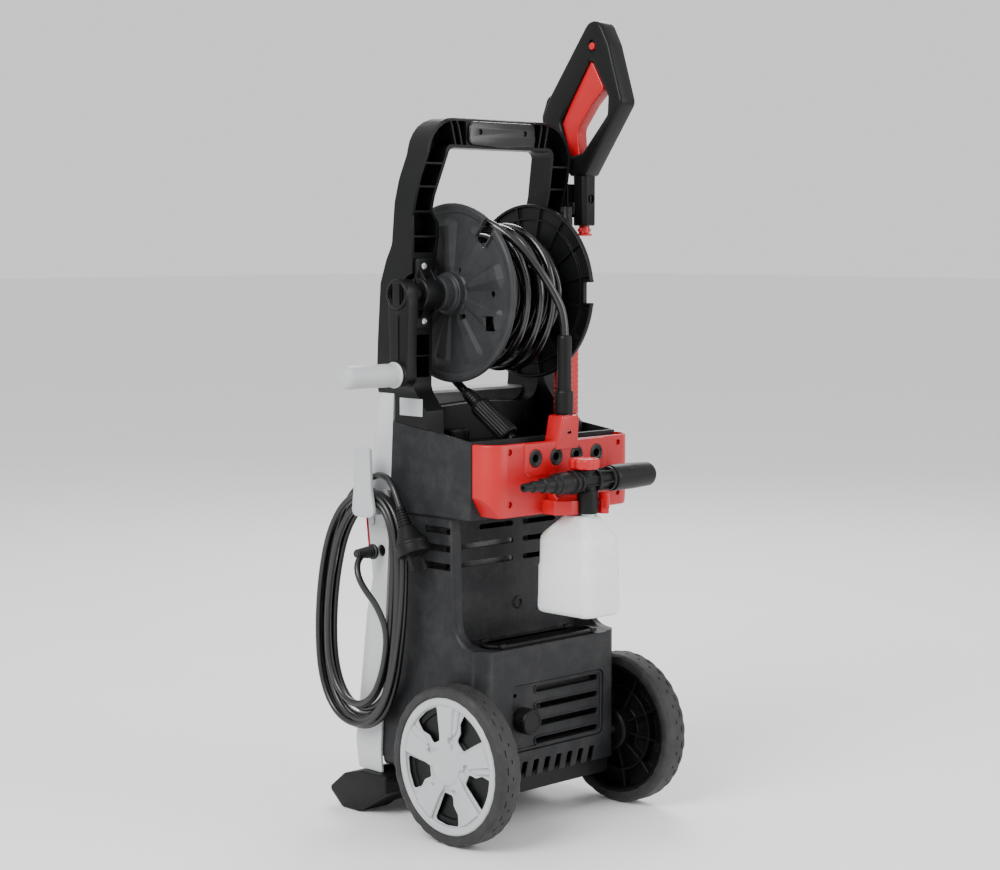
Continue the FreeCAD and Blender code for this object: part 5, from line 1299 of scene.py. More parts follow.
def trigger():
    """Curved trigger lever with its pivot pin."""
    outline = [(-47.0, 884.0, 2.0), (-27.0, 851.0, 7.0), (-48.0, 832.0, 16.0), (-70.0, 804.0, 14.0),
               (-68.0, 784.0, 10.0), (-65.0, 766.5, 3.0), (-84.0, 763.0, 3.0), (-98.0, 808.0, 16.0),
               (-76.0, 847.0, 60.0), (-54.0, 886.0, 1.5)]
    lever = slab("X", outline, GUN_MID - 8.0, GUN_MID + 8.0, bevel=1.8, rounds=3)
    pin = disc("X", (-76.0, 768.0), 2.5, GUN_X[0] + 2.0, GUN_X[1] - 2.0, 0.4, segments=28)
    return merged([lever, pin])


class WASHER_OT_gun(Operator):
    """Builds the spray gun with its trigger, lock and bayonet, and the lance with its sleeve"""
    bl_idname = "washer.gun"
    bl_label = "Gun and lance"

    def execute(self, context):
        put("gun_shell", gun_shell(), ["frame_black", "hole_shade_and_deep_black", "zinc"], "gun", ("gun_body",), "body_grey")
        put("trigger_lever", trigger(), ["red"], "gun_trigger", ("gun_trigger",), "red")
        lock = lathe("X", GUN_LOCK, [(0.0, GUN_X[0] - 1.5), (4.4, GUN_X[0] - 1.5, 1.2),
                                           (4.8, GUN_MID), (4.4, GUN_X[1] + 1.5, 1.2),
                                           (0.0, GUN_X[1] + 1.5)], 40)
        put("trigger_lock_pin", lock, ["red"], "gun_lock", ("gun_lock",), "red")
        bayonet = lathe("Z", (GUN_MID, BARREL_Y), [(4.0, 678.0), (9.3, 678.0, 0.8), (9.3, 680.4, 0.8),
                                                   (7.0, 681.6, 0.6), (6.5, 684.0), (6.5, 700.0),
                                                   (4.0, 700.0)], 56)
        ears = [block((GUN_MID + side * 8.0 - 1.5, GUN_MID + side * 8.0 + 1.5),
                      (BARREL_Y - 2.5, BARREL_Y + 2.5),
                      (683.0, 687.0), 0.8, 0.6) for side in (-1, 1)]
        # Near-black disc in the bayonet's mouth: painted shade of its bore.
        plug = disc("Z", (GUN_MID, BARREL_Y), 4.2, 680.5, 682.0, 0.3, segments=32)
        put("bayonet", merged([(bayonet, 0), (plug, 1), *[(ear, 0) for ear in ears]]), ["red", "hole_shade_and_deep_black"],
            "gun",
            ("gun_bayonet",), "red")
        put("gun_clip", self.clip(), ["black_plastic", "zinc"], "machine", ("gun_holder",), "black_plastic")
        put("lance_pipe", self.lance(), ["black_plastic", "black_gloss"], "lance", ("lance_tube",),
            "black_plastic")
        put("lance_grip", self.sleeve(), ["red"], "lance_sleeve", ("lance_sleeve",), "red")
        return {"FINISHED"}

    @staticmethod
    def clip():
        """Plate on the far post with two jaws that grip the barrel block."""
        half = 11.5
        rear = BARREL_Y - half
        plate = slab("X", [(-108.0, 700.0, 2.0), (rear, 700.0, 1.0), (rear, 740.0, 1.0),
                           (-108.0, 740.0, 4.0)],
                     -124.5, -121.3, bevel=0.6)
        back = block((GUN_MID - half - 4.0, -121.3), (rear - 4.0, rear), (700.0, 740.0), 1.2, 0.7)
        web = slab("Z", [(-124.0, -96.0, 1.0), (-124.0, rear - 3.0, 1.0), (-136.0, rear - 3.0, 1.0)], 716.0,
                   719.0,
                   bevel=0.5)
        parts = [plate, back, web]
        for x in (GUN_MID - half - 4.0, GUN_MID + half):
            jaw = slab("Z", [(x, rear - 1.0, 0.8), (x + 4.0, rear - 1.0, 0.8), (x + 4.0, rear + 9.0, 1.6),
                             (x, rear + 9.0, 1.6)], 704.0, 718.0, bevel=0.8)
            parts.append(jaw)
        screw = disc("X", (-98.0, 712.0), 3.4, -126.2, -124.2, 0.8, segments=28)
        return merged([*[(part, 0) for part in parts], (screw, 1)])

    @staticmethod
    def lance():
        """Tube with a disc flange and neck over its seat, and a bayonet tip at the top."""
        profile = [(0.0, 372.4), (5.6, 372.4, 1.0), (7.4, 378.0, 2.0), (7.5, 454.0), (7.5, 460.6),
                   (17.0, 460.6, 0.6),
                   (17.0, 462.4, 0.6), (11.5, 463.4, 0.6), (11.5, 464.6, 0.4), (15.0, 465.4, 0.4),
                   (14.6, 466.4, 0.4), (7.5, 466.6), (7.5, 698.0, 1.0), (6.5, 700.0), (6.5, 712.0, 1.0),
                   (0.0, 712.0)]
        tube = lathe("Z", LANCE, profile, 64)
        ears = [block((LANCE[0] + side * 7.4 - 1.2, LANCE[0] + side * 7.4 + 1.2),
                      (LANCE[1] - 2.0, LANCE[1] + 2.0),
                      (704.0, 708.0), 0.6, 0.5) for side in (-1, 1)]
        return merged([(tube, 1), *[(ear, 0) for ear in ears]])

    @staticmethod
    def sleeve():
        """Grip sleeve with rings round it and flats between them."""
        low, high = 467.0, 546.0
        profile = [(7.55, low), (14.2, low, 1.0), (15.0, low + 3.0, 0.8)]
        z = low + 5.0
        while z < high - 8.0:
            profile += [(14.8, z, 0.4), (15.3, z + 1.2, 0.4), (15.3, z + 4.2, 0.4), (14.8, z + 5.4, 0.4)]
            z += 6.4
        profile += [(15.2, high - 3.0, 1.0), (13.0, high, 1.2), (7.55, high)]

        def flats(angle, along):
            if along < low + 4.0 or along > high - 4.0:
                return 1.0
            return 1.0 - 0.05 * (0.5 + 0.5 * math.cos(angle * 8)) ** 2

        return lathe("Z", LANCE, profile, 96, flats)


# ---- nozzle holder -----------------------------------------------------------------------
SOCKET_X = (-49.5, -16.5, 16.5, 49.5)
SOCKET_Z = 430.0
HOLDER_X = 116.0
HOLDER_Y = (4.3, 36.0)
HOLDER_Z = (366.0, 448.0)
HOLDER_SCREWS = [(x, z) for x in (-88.0, 88.0) for z in (381.0, 439.0)]


def corner_wedges(outer, foot, top, z, y):
    """Wedges that slope over both lower corners of the holder."""
    return [slab("Y", [(side * outer, z[0]), (side * foot, z[0]), (side * top, z[1]), (side * outer, z[1])],
                 y[0], y[1], bevel=0.2) for side in (-1, 1)]


def holder_shell():
    """Red wrap-round shell with chamfered lower corners, pad, boss, clip arm and claws."""
    low, high = HOLDER_Z
    rear = HOLDER_Y[1]
    plan = [(-HOLDER_X, HOLDER_Y[0], 0.5), (HOLDER_X, HOLDER_Y[0], 0.5), (HOLDER_X, rear, 24.0),
            (-HOLDER_X, rear, 24.0)]
    shell = slab("Z", plan, low, high, bevel=2.2, rounds=4)
    corners = corner_wedges(130.0, 97.0, 119.0, (low - 8.0, low + 27.0), (0.0, 45.0))
    room = slab("Z", [(3.0 - HOLDER_X, -4.0), (HOLDER_X - 3.0, -4.0), (HOLDER_X - 3.0, rear - 3.0, 21.0),
                      (3.0 - HOLDER_X, rear - 3.0, 21.0)], low + 3.0, high + 30.0, bevel=0.3)
    room = carved(room, corner_wedges(135.0, 94.5, 116.5, (low - 6.4, low + 28.6), (-10.0, 50.0)))
    mouth = slab("Z", [(-30.0, -6.0), (30.0, -6.0), (30.0, 16.0, 3.0), (-30.0, 16.0, 3.0)], low - 5.0,
                 low + 10.0,
                 bevel=0.3)
    shell = carved(shell, [*corners, room, mouth])
    pad = slab("Y", [(-66.0, 410.0, 9.0), (66.0, 410.0, 9.0), (66.0, high - 1.0, 2.0),
                     (-66.0, high - 1.0, 2.0)],
               rear - 2.5, rear + 2.0, bevel=1.4, rounds=3)
    holes = [disc("Y", (x, SOCKET_Z), 10.3, rear - 8.0, rear + 8.0, 0.2, segments=48) for x in SOCKET_X]
    screws = [disc("Y", spot, 3.6, rear - 8.0, rear + 3.0, 0.2, segments=28) for spot in HOLDER_SCREWS]
    shell = carved(shell, [*holes, *screws])
    pad = carved(pad, holes)
    steps = []
    for z, half, front, back, corner in ((438.0, 18.0, 19.0, 37.0, 2.0), (446.0, 17.4, 19.5, 37.0, 2.0),
                                         (473.0, 13.6, 21.2, 42.4, 2.0), (475.4, 13.0, 21.8, 41.8, 2.4),
                                         (476.0, 11.8, 22.8, 40.8, 2.8)):
        loop = round_corners(rect((-half, half), (front, back + 3.0), corner), 4)
        steps.append([(x, y, z) for x, y in loop])
    boss = loft(steps)
    socket = disc("Z", (0.0, OUTLET_Y), 8.6, 455.0, 480.0, 0.2, segments=40)
    well = disc("Z", (0.0, OUTLET_Y - 6.0), 8.0, 430.0, 456.0, 0.2, segments=32)
    boss = carved(boss, [socket, well])
    arm = [slab("Z", [(-36.0, rear - 1.0, 0.5), (36.0, rear - 1.0, 0.5), (36.0, 55.0, 5.0), (21.0, 66.0, 4.0),
                      (12.0, 68.5, 1.0), (0.0, 60.0), (-12.0, 68.5, 1.0), (-14.0, 80.0, 1.5),
                      (-20.0, 86.0, 2.0),
                      (-24.0, 80.0, 3.0), (-23.0, 66.0, 4.0), (-36.0, 55.0, 5.0)], 366.0, 382.4, bevel=1.2,
                rounds=3)]
    arm = [carved(arm[0], [disc("Z", (0.0, FOAM[0]), 12.3, 360.0, 390.0, 0.2, segments=56)])]
    arm.append(slab("Z", [(-13.4, 74.0, 1.0), (-19.0, 76.0, 1.5), (-20.0, 86.5, 1.5), (-16.0, 88.5, 1.5)],
                    372.0, 390.0, bevel=0.8))
    for side in (-1, 1):
        arm.append(slab("X", [(rear - 1.0, 382.0), (52.0, 382.0, 1.0), (rear - 1.0, 396.0, 1.0)],
                        side * 26.0 - 1.5, side * 26.0 + 1.5, bevel=0.5))
    gussets = [block((side * 17.4 - 1.0, side * 17.4 + 1.0), (22.0, rear + 0.5), (446.0, 452.0), 0.4, 0.4)
               for side in (-1, 1)]
    # Near-black discs at the floors of the screw holes: painted shade.
    tips = [disc("Y", spot, 3.3, rear - 4.6, rear - 2.6, 0.5, segments=28) for spot in HOLDER_SCREWS]
    return merged([(part, 0) for part in [shell, pad, boss, *arm, *gussets]] + [(tip, 1) for tip in tips])


def rubber_sockets():
    """Four rubber sockets in the holder's pad, each with a near-black disc at its floor as painted shade."""
    parts = []
    face = HOLDER_Y[1] + 3.0
    for x in SOCKET_X:
        profile = [(4.7, face - 20.0), (10.0, face - 20.0), (10.0, face - 0.9, 0.9), (8.0, face, 0.7),
                   (7.0, face - 1.4, 0.5), (6.2, face - 1.4, 0.3), (6.0, face - 0.4, 0.5),
                   (4.7, face - 1.0, 0.4)]
        parts.append((lathe("Y", (x, SOCKET_Z), profile, 56), 0))
        # Near-black disc deep in the socket: painted shade of its bore.
        parts.append((disc("Y", (x, SOCKET_Z), 4.8, face - 19.0, face - 17.5, 0.2, segments=24), 1))
    return merged(parts)


# ---- foam sprayer ------------------------------------------------------------------------
DOSE_X = 6.0
BOTTLE_HALF = 30.0
BOTTLE_Y = (16.0, 99.0)


def bottle():
    """Translucent bottle with sloped shoulders, a step at mid height and a rounded foot."""
    levels = [(252.0, 6.0, 8.0), (252.3, 4.0, 8.0), (254.5, 1.2, 9.0), (259.0, 0.1, 10.0), (280.0, 0.0, 12.0),
              (298.0, 0.1, 12.0), (306.0, 0.25, 12.0), (307.5, 0.9, 12.0), (309.0, 1.1, 12.0),
              (334.0, 1.3, 12.0),
              (339.0, 2.0, 12.0), (341.5, 3.6, 11.0)]
    rings = []
    for z, inset, corner in levels:
        loop = round_corners(rect((inset - BOTTLE_HALF, BOTTLE_HALF - inset),
                                  (BOTTLE_Y[0] + inset, BOTTLE_Y[1] - inset), corner), 7)
        rings.append([(x, y, z) for x, y in loop])
    middle = FOAM[0] - 7.0
    for z, half, front, back, corner in ((344.0, 24.6, 21.0, 93.4, 10.0), (361.6, 16.6, 42.0, 80.0, 8.0),
                                         (363.4, 15.6, middle - 20.0, middle + 14.6, 8.0),
                                         (364.4, 14.0, middle - 18.4, middle + 13.0, 7.0)):
        loop = round_corners(rect((-half, half), (front, back), corner), 7)
        rings.append([(x, y, z) for x, y in loop])
    body = loft(rings)
    neck = lathe("Z", (0.0, FOAM[0]), [(5.6, 362.0), (8.0, 362.0), (8.0, 372.0, 0.5), (5.6, 372.0)], 48)
    return merged([body, neck])


def injector():
    """Injector along X with rings, ribs, a valve tee and a long tapered tube."""
    y, z = FOAM
    core = lathe("X", FOAM, [(8.2, 34.0), (10.8, 34.0, 0.6), (11.4, 30.0, 0.6), (11.4, 28.0),
                             (13.6, 27.4, 0.5),
                             (13.6, 24.0, 0.5), (11.0, 23.4), (11.0, 19.0), (12.6, 18.4, 0.5),
                             (12.6, 15.0, 0.5),
                             (10.2, 14.4), (10.2, -8.0), (13.2, -8.6, 0.6), (13.2, -12.6, 0.6), (9.6, -13.2),
                             (9.6, -31.0), (13.6, -31.6, 0.6), (13.6, -35.0, 0.5), (12.4, -35.6),
                             (12.4, -37.0),
                             (14.6, -37.4, 0.6), (15.0, -41.0, 1.5), (15.0, -70.0, 40.0), (13.8, -100.0, 2.0),
                             (11.4, -104.0, 2.4), (8.5, -104.0, 0.8), (8.5, -52.0), (2.0, -52.0), (2.0, 20.0),
                             (8.2, 20.0)], 80)
    parts = [(core, 0)]
    for count, span, half, top, first in ((6, (-31.4, -12.8), 1.0, 13.0, 20.0),
                                          (8, (-8.0, 13.5), 0.9, 12.0, 22.5)):
        for index in range(count):
            rib = block(span, (-half, half), (8.0, top), 0.4, 0.4)
            rib = turned(rib, "X", index * 360.0 / count + first)
            parts.append((centred(rib, FOAM), 0))
    valve = lathe("Z", (DOSE_X, y), [(4.1, z), (10.4, z), (10.4, z + 9.4, 0.5), (11.6, z + 10.0, 0.4),
                                   (11.6, z + 12.4, 0.6), (9.4, z + 13.4, 0.4), (4.1, z + 13.4)], 56)
    tee = lathe("Z", (0.0, y), [(0.0, z), (9.6, z), (9.6, z - 9.0, 0.4), (11.6, z - 12.0, 0.6),
                                (12.0, z - 13.6, 0.5),
                                (12.0, z - 37.0, 0.6), (8.2, z - 37.0), (8.2, 373.0), (0.0, 373.0)], 64)
    dip = disc("Z", (0.0, y), 3.0, 258.0, 374.0, 0.4, segments=28)
    dot = disc("Y", (-7.2, 379.0), 2.2, y + 8.0, y + 10.2, 0.5, segments=24)
    # Thin near-black outline on the body: painted shade of a groove.
    loop = [(-57.0, -4.0, 1.0), (-69.0, -4.0, 3.4), (-69.0, 4.0, 3.4), (-57.0, 4.0, 1.0), (-57.0, 2.9, 0.4),
            (-67.6, 2.9, 2.4), (-67.6, -2.9, 2.4), (-57.0, -2.9, 0.4)]
    groove = slab("Z", loop, 13.6, 14.9, bevel=0.15)
    groove = turned(groove, "X", -62.0)
    return merged([*parts, (valve, 0), (tee, 0), (dip, 0), (dot, 2), (centred(groove, FOAM), 1)])


def stepped_nozzle():
    """Turning nozzle: knurled collar with windows drawn as near-black panes, then three barbed steps to the tip; the
    panes and a near-black disc in the bore are painted shade.
    """
    profile = [(2.0, 21.0), (8.0, 21.0), (8.0, 34.4), (12.4, 34.4, 0.8), (12.6, 37.0), (11.8, 50.0, 0.8),
               (10.6, 51.0, 0.4), (10.4, 58.0, 0.8), (8.6, 58.6, 0.3), (8.8, 60.0, 0.3), (7.6, 69.0, 0.4),
               (8.4, 70.0, 0.6), (8.4, 73.0, 0.6), (6.6, 74.0, 0.3), (6.6, 76.0), (5.6, 85.0, 0.4),
               (6.6, 86.0, 0.5),
               (6.4, 89.0, 0.4), (5.2, 90.0, 0.3), (4.9, 100.0), (4.7, 103.0, 0.8), (2.0, 103.0, 0.4)]

    def knurl(angle, along):
        if along < 38.0 or along > 49.5:
            return 1.0
        return 1.0 - 0.035 * (0.5 + 0.5 * math.cos(angle * 20))

    body = lathe("X", FOAM, profile, 120, knurl)
    # Near-black disc in the bore: painted shade.
    pit = disc("X", FOAM, 2.1, 93.0, 95.0, 0.2, segments=20)
    # Windows drawn as near-black panes on the collar: painted shade.
    windows = []
    for index in range(4):
        pane = block((52.4, 57.0), (-2.2, 2.2), (9.6, 10.75), 0.4, 0.2)
        pane = turned(pane, "X", index * 90.0 + 30.0)
        windows.append((centred(pane, FOAM), 1))
    return merged([(body, 0), (pit, 1), *windows])


class WASHER_OT_sprayer(Operator):
    """Builds the nozzle holder, its rubber sockets and the foam sprayer with its bottle"""
    bl_idname = "washer.sprayer"
    bl_label = "Holder and foam sprayer"

    def execute(self, context):
        put("holder", holder_shell(), ["red", "hole_shade_and_deep_black"], "machine", ("nozzle_holder",), "red")
        put("rubber_sockets", rubber_sockets(), ["rubber", "hole_shade_and_deep_black"], "machine", ("nozzle_sockets",),
            "rubber")
        put("bottle", bottle(), ["bottle"], "foam_sprayer", ("foam_bottle",), "bottle", crease=50.0)
        put("injector", injector(), ["black_plastic", "hole_shade_and_deep_black", "light_grey"], "foam_sprayer", ("foam_body",),
            "black_plastic")
        put("barbed_nozzle", stepped_nozzle(), ["black_plastic", "hole_shade_and_deep_black"], "foam_nozzle", ("foam_nozzle",),
            "black_plastic")
        top = FOAM[1] + 13.8

        def lobes(angle, along):
            return 1.0 - 0.075 * (0.5 + 0.5 * math.cos(angle * 9)) ** 1.5

        knob = lathe("Z", (DOSE_X, FOAM[0]), [(0.0, top), (16.2, top, 0.8), (17.5, top + 1.8, 1.0),
                                              (17.5, top + 9.8, 1.4), (16.0, top + 11.8, 1.2),
                                              (13.6, top + 12.0, 0.4), (13.0, top + 11.0, 0.4),
                                              (0.0, top + 11.0)], 144, lobes)
        stem = disc("Z", (DOSE_X, FOAM[0]), 4.0, FOAM[1] + 5.0, top + 1.0, 0.3, segments=32)
        put("dosing_cap", merged([knob, stem]), ["red"], "dosing_knob", ("dosing_knob",), "red")
        return {"FINISHED"}


# ---- handle frame ------------------------------------------------------------------------
FRAME_HALF = 121.0
FRAME_TOP = 811.0
FRAME_WALL = 3.6
POST_HALF = 118.0
RIB_HEIGHTS = (541.0, 676.0, 704.0, 732.0, 758.0)
RIB_WIDTH = 2.2
FRAME_ACROSS = (-130.0, 130.0)     # wider than the frame
FRAME_DEPTH = (-170.0, -40.0)      # deeper than the frame
BRACKET_SCREW_X = 106.0
BRACKET_SCREW_Z = (581.6, 643.6)
GRIP_SCREWS = [(x, 796.0) for x in (-36.0, 36.0)]


def frame_view(inset):
    """Rear view of the handle frame's outside, drawn in by an inset."""
    half, foot = FRAME_HALF - inset, POST_HALF - inset
    right = [(half - 12.0, FRAME_TOP - inset, 44.0 - inset), (half, 742.0, 80.0), (half, 508.0),
             (foot, 500.0),
             (foot, 440.3)]
    return [(-point[0], *point[1:]) for point in reversed(right)] + right


def frame_gap(grow):
    """Rear view of the opening inside the handle frame, grown outwards by a wall."""
    left = [(-92.0, 480.0, 24.0), (-91.0, 560.0), (-88.0, 628.0), (-79.0, 680.0, 8.0), (-80.0, 694.0, 8.0),
            (-91.0, 706.0, 6.0), (-90.7, 724.0, 10.0), (-82.0, 777.0, 9.0)]
    left = [(point[0] - grow, point[1] + (grow if point[1] > 770.0 else 0.0), *point[2:]) for point in left]
    return left + [(-point[0], *point[1:]) for point in reversed(left)] + [(0.0, 485.0)]


def frame_side(front, rear=0.0):
    """Side view of the handle frame, with its front and its rear moved to the rear."""
    view = [(-121.0, 440.3), (-121.0, 498.3), (-150.0, 498.3), (-147.0, 560.0, 60.0), (-142.0, 624.0, 14.0),
            (-132.0, 650.0, 14.0), (-122.0, 668.0, 20.0), (-117.0, 716.0, 40.0), (-101.0, 770.0, 20.0),
            (-101.0, 813.0, 12.0)]
    back = [(-68.0, 813.0, 12.0), (-68.0, 770.0, 20.0), (-84.0, 716.0, 6.0), (-88.0, 700.0, 6.0),
            (-88.0, 504.0, 22.0), (-68.0, 480.0, 6.0), (-66.0, 440.3)]
    return ([(point[0] + front, *point[1:]) for point in view] + [(point[0] + rear,
                                                                   *point[1:]) for point in back])


def frame_mass(inset, grow, front, rear):
    mass = slab("Y", frame_view(inset), -165.0, -45.0, [frame_gap(grow)], bevel=0.01, rounds=0)
    return carved(mass, [slab("X", frame_side(front, rear), -130.0, 130.0, bevel=0.01, rounds=0)],
                  "INTERSECT")


def frame_band(x, z):
    """Block through the whole depth of the handle frame."""
    return block(x, FRAME_DEPTH, z, 0.0, 0.05)


def handle_frame():
    """Two posts and a top bar, open to the rear between thin ribs, over a closed cross web."""
    frame_body = frame_mass(0.0, 0.0, 0.0, 0.0)
    channel = frame_mass(FRAME_WALL, FRAME_WALL, 8.0, 8.0)
    kept = [frame_band(FRAME_ACROSS, (400.0, 518.0)), frame_band(FRAME_ACROSS, (566.0, 659.0)),
            frame_band((-55.0, 55.0), (772.0, 822.0))]
    kept += [frame_band(FRAME_ACROSS, (z, z + RIB_WIDTH)) for z in RIB_HEIGHTS]
    for x in (64.0, 74.0):
        for side in (-1, 1):
            rib = frame_band((side * x - RIB_WIDTH / 2, side * x + RIB_WIDTH / 2), (770.0, 822.0))
            kept.append(turned(rib, "Y", side * 14.0, (side * x, 790.0)))
    channel = carved(channel, kept)
    web = block((-91.8, 91.8), (-98.0, -50.0), (400.0, 510.0), 0.0, 0.05)
    frame_body = carved(frame_body, [channel, web])
    bores = []
    for side in (-1, 1):
        low, high = sorted((side * 70.0, side * 130.0))
        bores.append(disc("X", REEL, 23.0, low, high, 0.2, segments=64))
        low, high = sorted((side * 114.7, side * 126.0))
        bores.append(slab("X", [(-170.0, 430.0), (-170.0, 472.8), (-60.0, 458.6), (-60.0, 430.0)], low,
                          high, bevel=0.05))
    return carved(frame_body, bores)


def grip_cover():
    """Slightly bulged insert in the top bar with two screw wells."""
    shape = [(-54.0, 781.0, 8.0), (0.0, 778.6, 60.0), (54.0, 781.0, 8.0), (52.0, 807.5, 9.0),
             (-52.0, 807.5, 9.0)]
    plate = slab("Y", shape, -68.4, -64.6, bevel=1.5, rounds=3)
    wells = [disc("Y", spot, 3.3, -67.4, -60.0, 0.2, segments=28) for spot in GRIP_SCREWS]
    # Near-black discs at the floors of the screw wells: painted shade.
    floors = [disc("Y", spot, 3.2, -68.0, -67.2, 0.2, segments=28) for spot in GRIP_SCREWS]
    return merged([(carved(plate, wells), 0), *[(floor, 1) for floor in floors]])


def brackets():
    """Two bearing brackets with ribbed sleeves round the ends of the reel shaft."""
    plate = slab("Y", [(93.0, 572.6, 3.0), (118.0, 572.6, 3.0), (118.0, 652.6, 4.0), (93.0, 652.6, 4.0)],
                 -87.7, -84.0, bevel=1.0, rounds=2)
    sleeve = lathe("X", REEL, [(8.05, 92.0), (17.4, 92.0, 0.8), (19.0, 93.6, 0.8), (19.0, 116.4, 0.8),
                               (17.4, 118.0, 0.8), (8.05, 118.0)], 72)
    ribs = [slab("X", [(-87.0, REEL[1] + side * 30.0), (-81.6, REEL[1] + side * 27.0, 1.0),
                       (-70.0, REEL[1] + side * 12.0, 2.0), (-87.0, REEL[1] + side * 10.0)], x, x + 2.4,
                       bevel=0.5)
            for side in (-1, 1) for x in (96.0, 112.0)]
    near = merged([plate, sleeve, *ribs])
    return merged([near.copy(), flipped(near)])


def cross_screw(x, z, face, radius=4.2):
    """Pan-head screw with a cross recess that faces the rear."""
    head = lathe("Y", (x, z), [(0.0, face - 0.6), (radius, face - 0.6), (radius, face + 0.8, 0.5),
                               (radius * 0.55, face + 2.2, 1.2), (0.0, face + 2.2)], 36)
    arms = [slab("Y", rect((x - a, x + a), (z - b, z + b), 0.2), face + 1.2, face + 3.0, bevel=0.1)
            for a, b in ((0.55, radius * 0.55), (radius * 0.55, 0.55))]
    return carved(head, arms)


class WASHER_OT_frame(Operator):
    """Builds the handle frame, its grip insert, the bearing brackets and their screws"""
    bl_idname = "washer.frame"
    bl_label = "Handle frame"

    def execute(self, context):
        put("handle_posts", handle_frame(), ["frame_black"], "machine", ("handle_frame",), "frame_black")
        put("grip_panel", grip_cover(), ["black_gloss", "hole_shade_and_deep_black"], "machine", ("grip_insert",),
            "black_plastic")
        put("reel_brackets", brackets(), ["frame_black"], "machine", ("bearing_brackets",), "frame_black")
        screws = []
        for side in (-1, 1):
            for z in BRACKET_SCREW_Z:
                screws.append(cross_screw(side * BRACKET_SCREW_X, z, -84.0))
                screws.append(disc("Y", (side * BRACKET_SCREW_X, z), 2.2, -87.7, -84.0, 0.2, segments=24))
        put("reel_screws", merged(screws), ["steel"], "machine", ("bracket_screws",), "steel")
        return {"FINISHED"}


# ---- body --------------------------------------------------------------------------------
BODY_HALF = 114.0
UPPER_HALF = 118.0
SPLIT = [(-147.0, 50.0), (-149.0, 76.0), (-128.0, 410.0), (-123.0, 498.0)]
BASKET = ((-84.0, 84.0), (-25.0, 9.5))
VENT_Z = (346.5, 326.5, 305.5)
GRILLE_Z = (101.0, 121.0, 141.0, 161.0)
INLET = (48.0, 129.0)          # axis of the water inlet: X, Z
TANK_CAP = (60.0, -80.0)       # axis of the tank cap: X, Y
SWITCH = (0.0, 400.0)          # axis of the switch: X, Z


def stadium(x, y, grow=0.0):
    radius = (y[1] - y[0]) / 2 + grow - 0.02
    return rect((x[0] - grow, x[1] + grow), (y[0] - grow, y[1] + grow), radius)


def body_side(inset):
    """Side view of the lower and middle body with the soft hip between them."""
    return [(-175.0, 60.0 - inset * 3), (12.5 - inset, 60.0 - inset * 3, 3.0), (17.0 - inset, 86.0),
            (17.0 - inset, 214.0 - inset, 5.0), (-26.0 - inset, 219.0 - inset, 30.0),
            (-31.0 - inset, 366.0 + inset), (-175.0, 366.0 + inset)]


def body_mass(inset):
    """Lower, middle and upper blocks of the housing, drawn in by an inset."""
    half = BODY_HALF - inset
    wide = slab("X", body_side(inset), -half, half, bevel=7.0 if inset == 0.0 else 5.0, rounds=5)
    plan = slab("Z", [(-half - 1.0, -180.0), (half + 1.0, -180.0), (half + 1.0, 17.2 - inset, 24.0),
                      (-half - 1.0, 17.2 - inset, 24.0)], 0.0, 400.0, bevel=0.05)
    return carved(wide, [plan], "INTERSECT")


def front_room():
    """Everything in front of the seam with the front cover."""
    return slab("X", [(SPLIT[0][0], -20.0), *SPLIT, (-123.0, 700.0), (-260.0, 700.0), (-260.0, -20.0)],
                -140.0, 140.0, bevel=0.05)


def niche(z, back):
    return slab("Y", rect((-101.0, 101.0), z, 11.0), back, 60.0, bevel=0.05)


def long_slots(rows, low, high, thickness):
    """Round-ended slots through a span of Y; a row is ((from, to), height)."""
    return [slab("Y", rect(across, (z - thickness / 2, z + thickness / 2), thickness / 2 - 0.02), low, high,
                 bevel=0.05) for across, z in rows]


def housing():
    """Dark shell: recessed niche, hip, basket mouth, vents, grille frame and slanted fins."""
    body = carved(body_mass(0.0), [niche((213.0, 392.0), -40.0)])
    room = carved(body_mass(3.0), [niche((210.0, 395.0), -43.0)])
    body = carved(body, [room])
    cuts = [slab("Z", stadium(*BASKET), 195.0, 240.0, bevel=0.05),
            slab("Y", rect((-86.0, 66.0), (92.0, 170.0), 8.0), 5.0, 30.0, bevel=0.05)]
    for index in range(7):
        x = 46.0 - index * 18.5
        cuts.append(slab("Y", [(x - 4.4, 50.0), (x + 4.4, 50.0), (x + 4.4 - 3.0, 80.0, 2.0),
                               (x - 4.4 - 3.0, 80.0, 2.0)],
                         3.0, 30.0, bevel=0.05))
    rows = []
    for z, reach in zip(VENT_Z, (62.0, 91.0, 91.0)):
        rows += [((7.5, reach), z), ((-reach, -7.5), z)]
    cuts += long_slots(rows, -46.0, -36.0, 6.0)
    for side in (-1, 1):
        low, high = sorted((side * 104.0, side * 118.0))
        for z in VENT_Z:
            cuts.append(slab("X", rect((-75.0, -34.0), (z - 4.0, z + 4.0), 0.8), low, high, bevel=0.05))
    cuts.append(front_room())
    cuts.append(disc("X", (0.0, 90.0), 7.0, -130.0, 130.0, 0.2, segments=40))
    body = carved(body, cuts)
    rim = [(-135.0, 362.0), (4.0, 362.0, 2.0), (4.0, 450.0), (-135.0, 468.0)]
    well = [(-150.0, 365.0), (1.0, 365.0, 1.0), (1.0, 470.0), (-150.0, 490.0)]
    upper = slab("X", rim, -UPPER_HALF, UPPER_HALF, bevel=1.8, rounds=3)
    upper = carved(upper, [slab("X", well, 3.0 - UPPER_HALF, UPPER_HALF - 3.0, bevel=0.05),
                           front_room(),
                           disc("Y", (0.0, 395.0), 7.0, -20.0, 20.0, 0.2, segments=32)])
    boss = lathe("Y", (0.0, 252.5), [(0.0, -41.0), (7.4, -41.0), (7.4, -37.6, 0.8), (4.4, -37.0, 0.4),
                                     (4.2, -39.4), (0.0, -39.4)], 40)
    band = slab("Z", [(-UPPER_HALF + 0.5, -40.0), (UPPER_HALF - 0.5, -40.0), (UPPER_HALF - 0.5, 3.0),
                      (-UPPER_HALF + 0.5, 3.0)], 362.2, 365.4, bevel=0.4)
    return merged([body, upper, boss, band])


